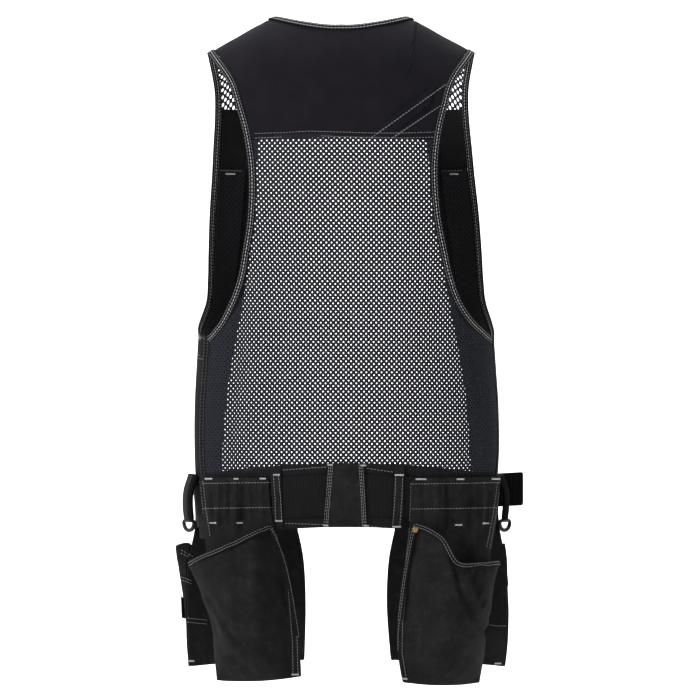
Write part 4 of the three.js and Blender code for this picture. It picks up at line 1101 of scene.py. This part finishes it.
seen = surface([made for name, made in sewn.items() if name != "back_net"])
YOKE_ROWS = [
    [(256, 133.5), (285, 132.5), (310, 131), (340, 132), (372, 133), (405, 133), (437, 132)],
    [(256, 138), (285, 137), (310, 135.4), (340, 136.6), (372, 137.5), (405, 138), (437, 137)],
]
TAPE_ROWS = [[(371, 138), (408, 111.5), (445, 85)], [(393, 137.5), (417, 121.5), (440, 106)]]
SEAM_ROWS = [
    [(329, 465), (326.5, 495), (324, 525)], [(362.5, 465), (364.5, 495), (366, 525)],
    [(273.5, 476), (275, 498), (275.5, 520)], [(278.5, 476), (280.5, 498), (281.8, 520)],
    [(395.8, 476), (394.8, 500), (392.6, 525.5)], [(402.8, 476), (401.8, 500), (399.8, 525.5)],
    [(284, 470), (325, 467)], [(368, 468.5), (392, 472)], [(286, 523.5), (322, 524.5)],
    [(369, 526), (390, 529)],
    [(200, 483.5), (235, 483), (270, 482.5)], [(202, 508.5), (235, 508), (272, 507.5)],
    [(413, 484), (455, 483.5), (502, 482.5)], [(413, 509), (455, 508.5), (500, 507.5)],
    [(200, 482), (203, 510), (206.5, 538)], [(203, 482), (206, 510), (210, 535)],
    [(500.5, 484), (496, 515), (490, 548)], [(497.5, 484), (493, 515), (487, 546)],
    [(275.5, 531), (288, 586), (292.5, 643), (293, 672)], [(280, 533), (292.5, 600), (297, 638), (298, 672)],
    [(411, 484), (410.5, 505), (409.5, 520)], [(409.5, 529), (403.5, 581), (398, 634), (398, 650)],
    [(414, 529), (408, 572), (402.5, 625), (402, 652), (406, 678)],
    [(182, 550.5), (187, 553), (192, 556)], [(181.5, 553.5), (187, 556), (192, 559)],
    [(181, 577), (186, 578.5), (190.5, 580.5)], [(181, 580), (186, 581.5), (190.5, 583.5)],
    [(187, 618), (196, 619), (206, 620)], [(187, 622), (196, 623), (206, 624)],
    [(490, 625), (498, 626), (505, 626)], [(198, 355), (206, 356)], [(198, 358.5), (206, 359.5)],
    [(221, 170.5), (240, 171)], [(443, 171), (461, 170.5)],
]
TACKS = [
    [(205, 478.8), (212, 478.8)], [(234, 478.8), (238, 478.8)], [(260, 478.6), (265.5, 478.6)],
    [(210, 523), (216, 523)], [(237, 523), (242.5, 523)], [(416, 479.2), (426, 479.2)],
    [(457, 479.2), (464, 479.2)], [(492, 479), (500, 479)], [(455, 525), (462, 525)],
    [(483, 523.3), (489, 523.3)],
    [(273.5, 474.8), (279.5, 474.8)], [(275.5, 521), (282, 521)], [(395, 475), (403.5, 475)],
    [(392.5, 526.8), (400.5, 526.8)], [(327.5, 465), (332, 465)], [(323.5, 525.5), (328, 525.5)],
    [(361, 465.5), (366, 465.5)], [(364, 525.8), (368.5, 525.8)], [(292, 674.5), (298.5, 674.5)],
    [(402, 678.5), (407, 679)], [(189, 661), (194, 661)], [(495, 663.5), (501, 663.5)],
    [(392, 661.5), (396.5, 662)], [(226, 174), (235, 174)], [(450, 174), (458, 174)],
]


def laid(rows, step=1.2):
    return [path for path in (on_cloth(seen, row, step) for row in rows) if len(path[0]) > 1]


stitches("yoke_rows", laid(YOKE_ROWS), SEAM_PITCH, DIM, grey_thread, "yoke_cloth")
stitches("tape_rows", laid(TAPE_ROWS), 0.0040, (0.0033, 0.0011, 0.0006), grey_thread, "binding")
stitches("seam_rows", laid(SEAM_ROWS), SEAM_PITCH, DIM, grey_thread, "pocket_cloth")
patch_rows = [beside(SEAM_ROWS[k], off) for k, off in ((0, -1.8), (0, -3.6), (1, 1.8), (1, 3.4))]
stitches("patch_rows", laid(patch_rows), 0.0034, DIM, grey_thread, "pocket_cloth")
stitches("bar_tacks", laid(TACKS, 0.8), 0.0008, (0.0007, 0.0023, 0.0007), pale_thread, "pocket_cloth")
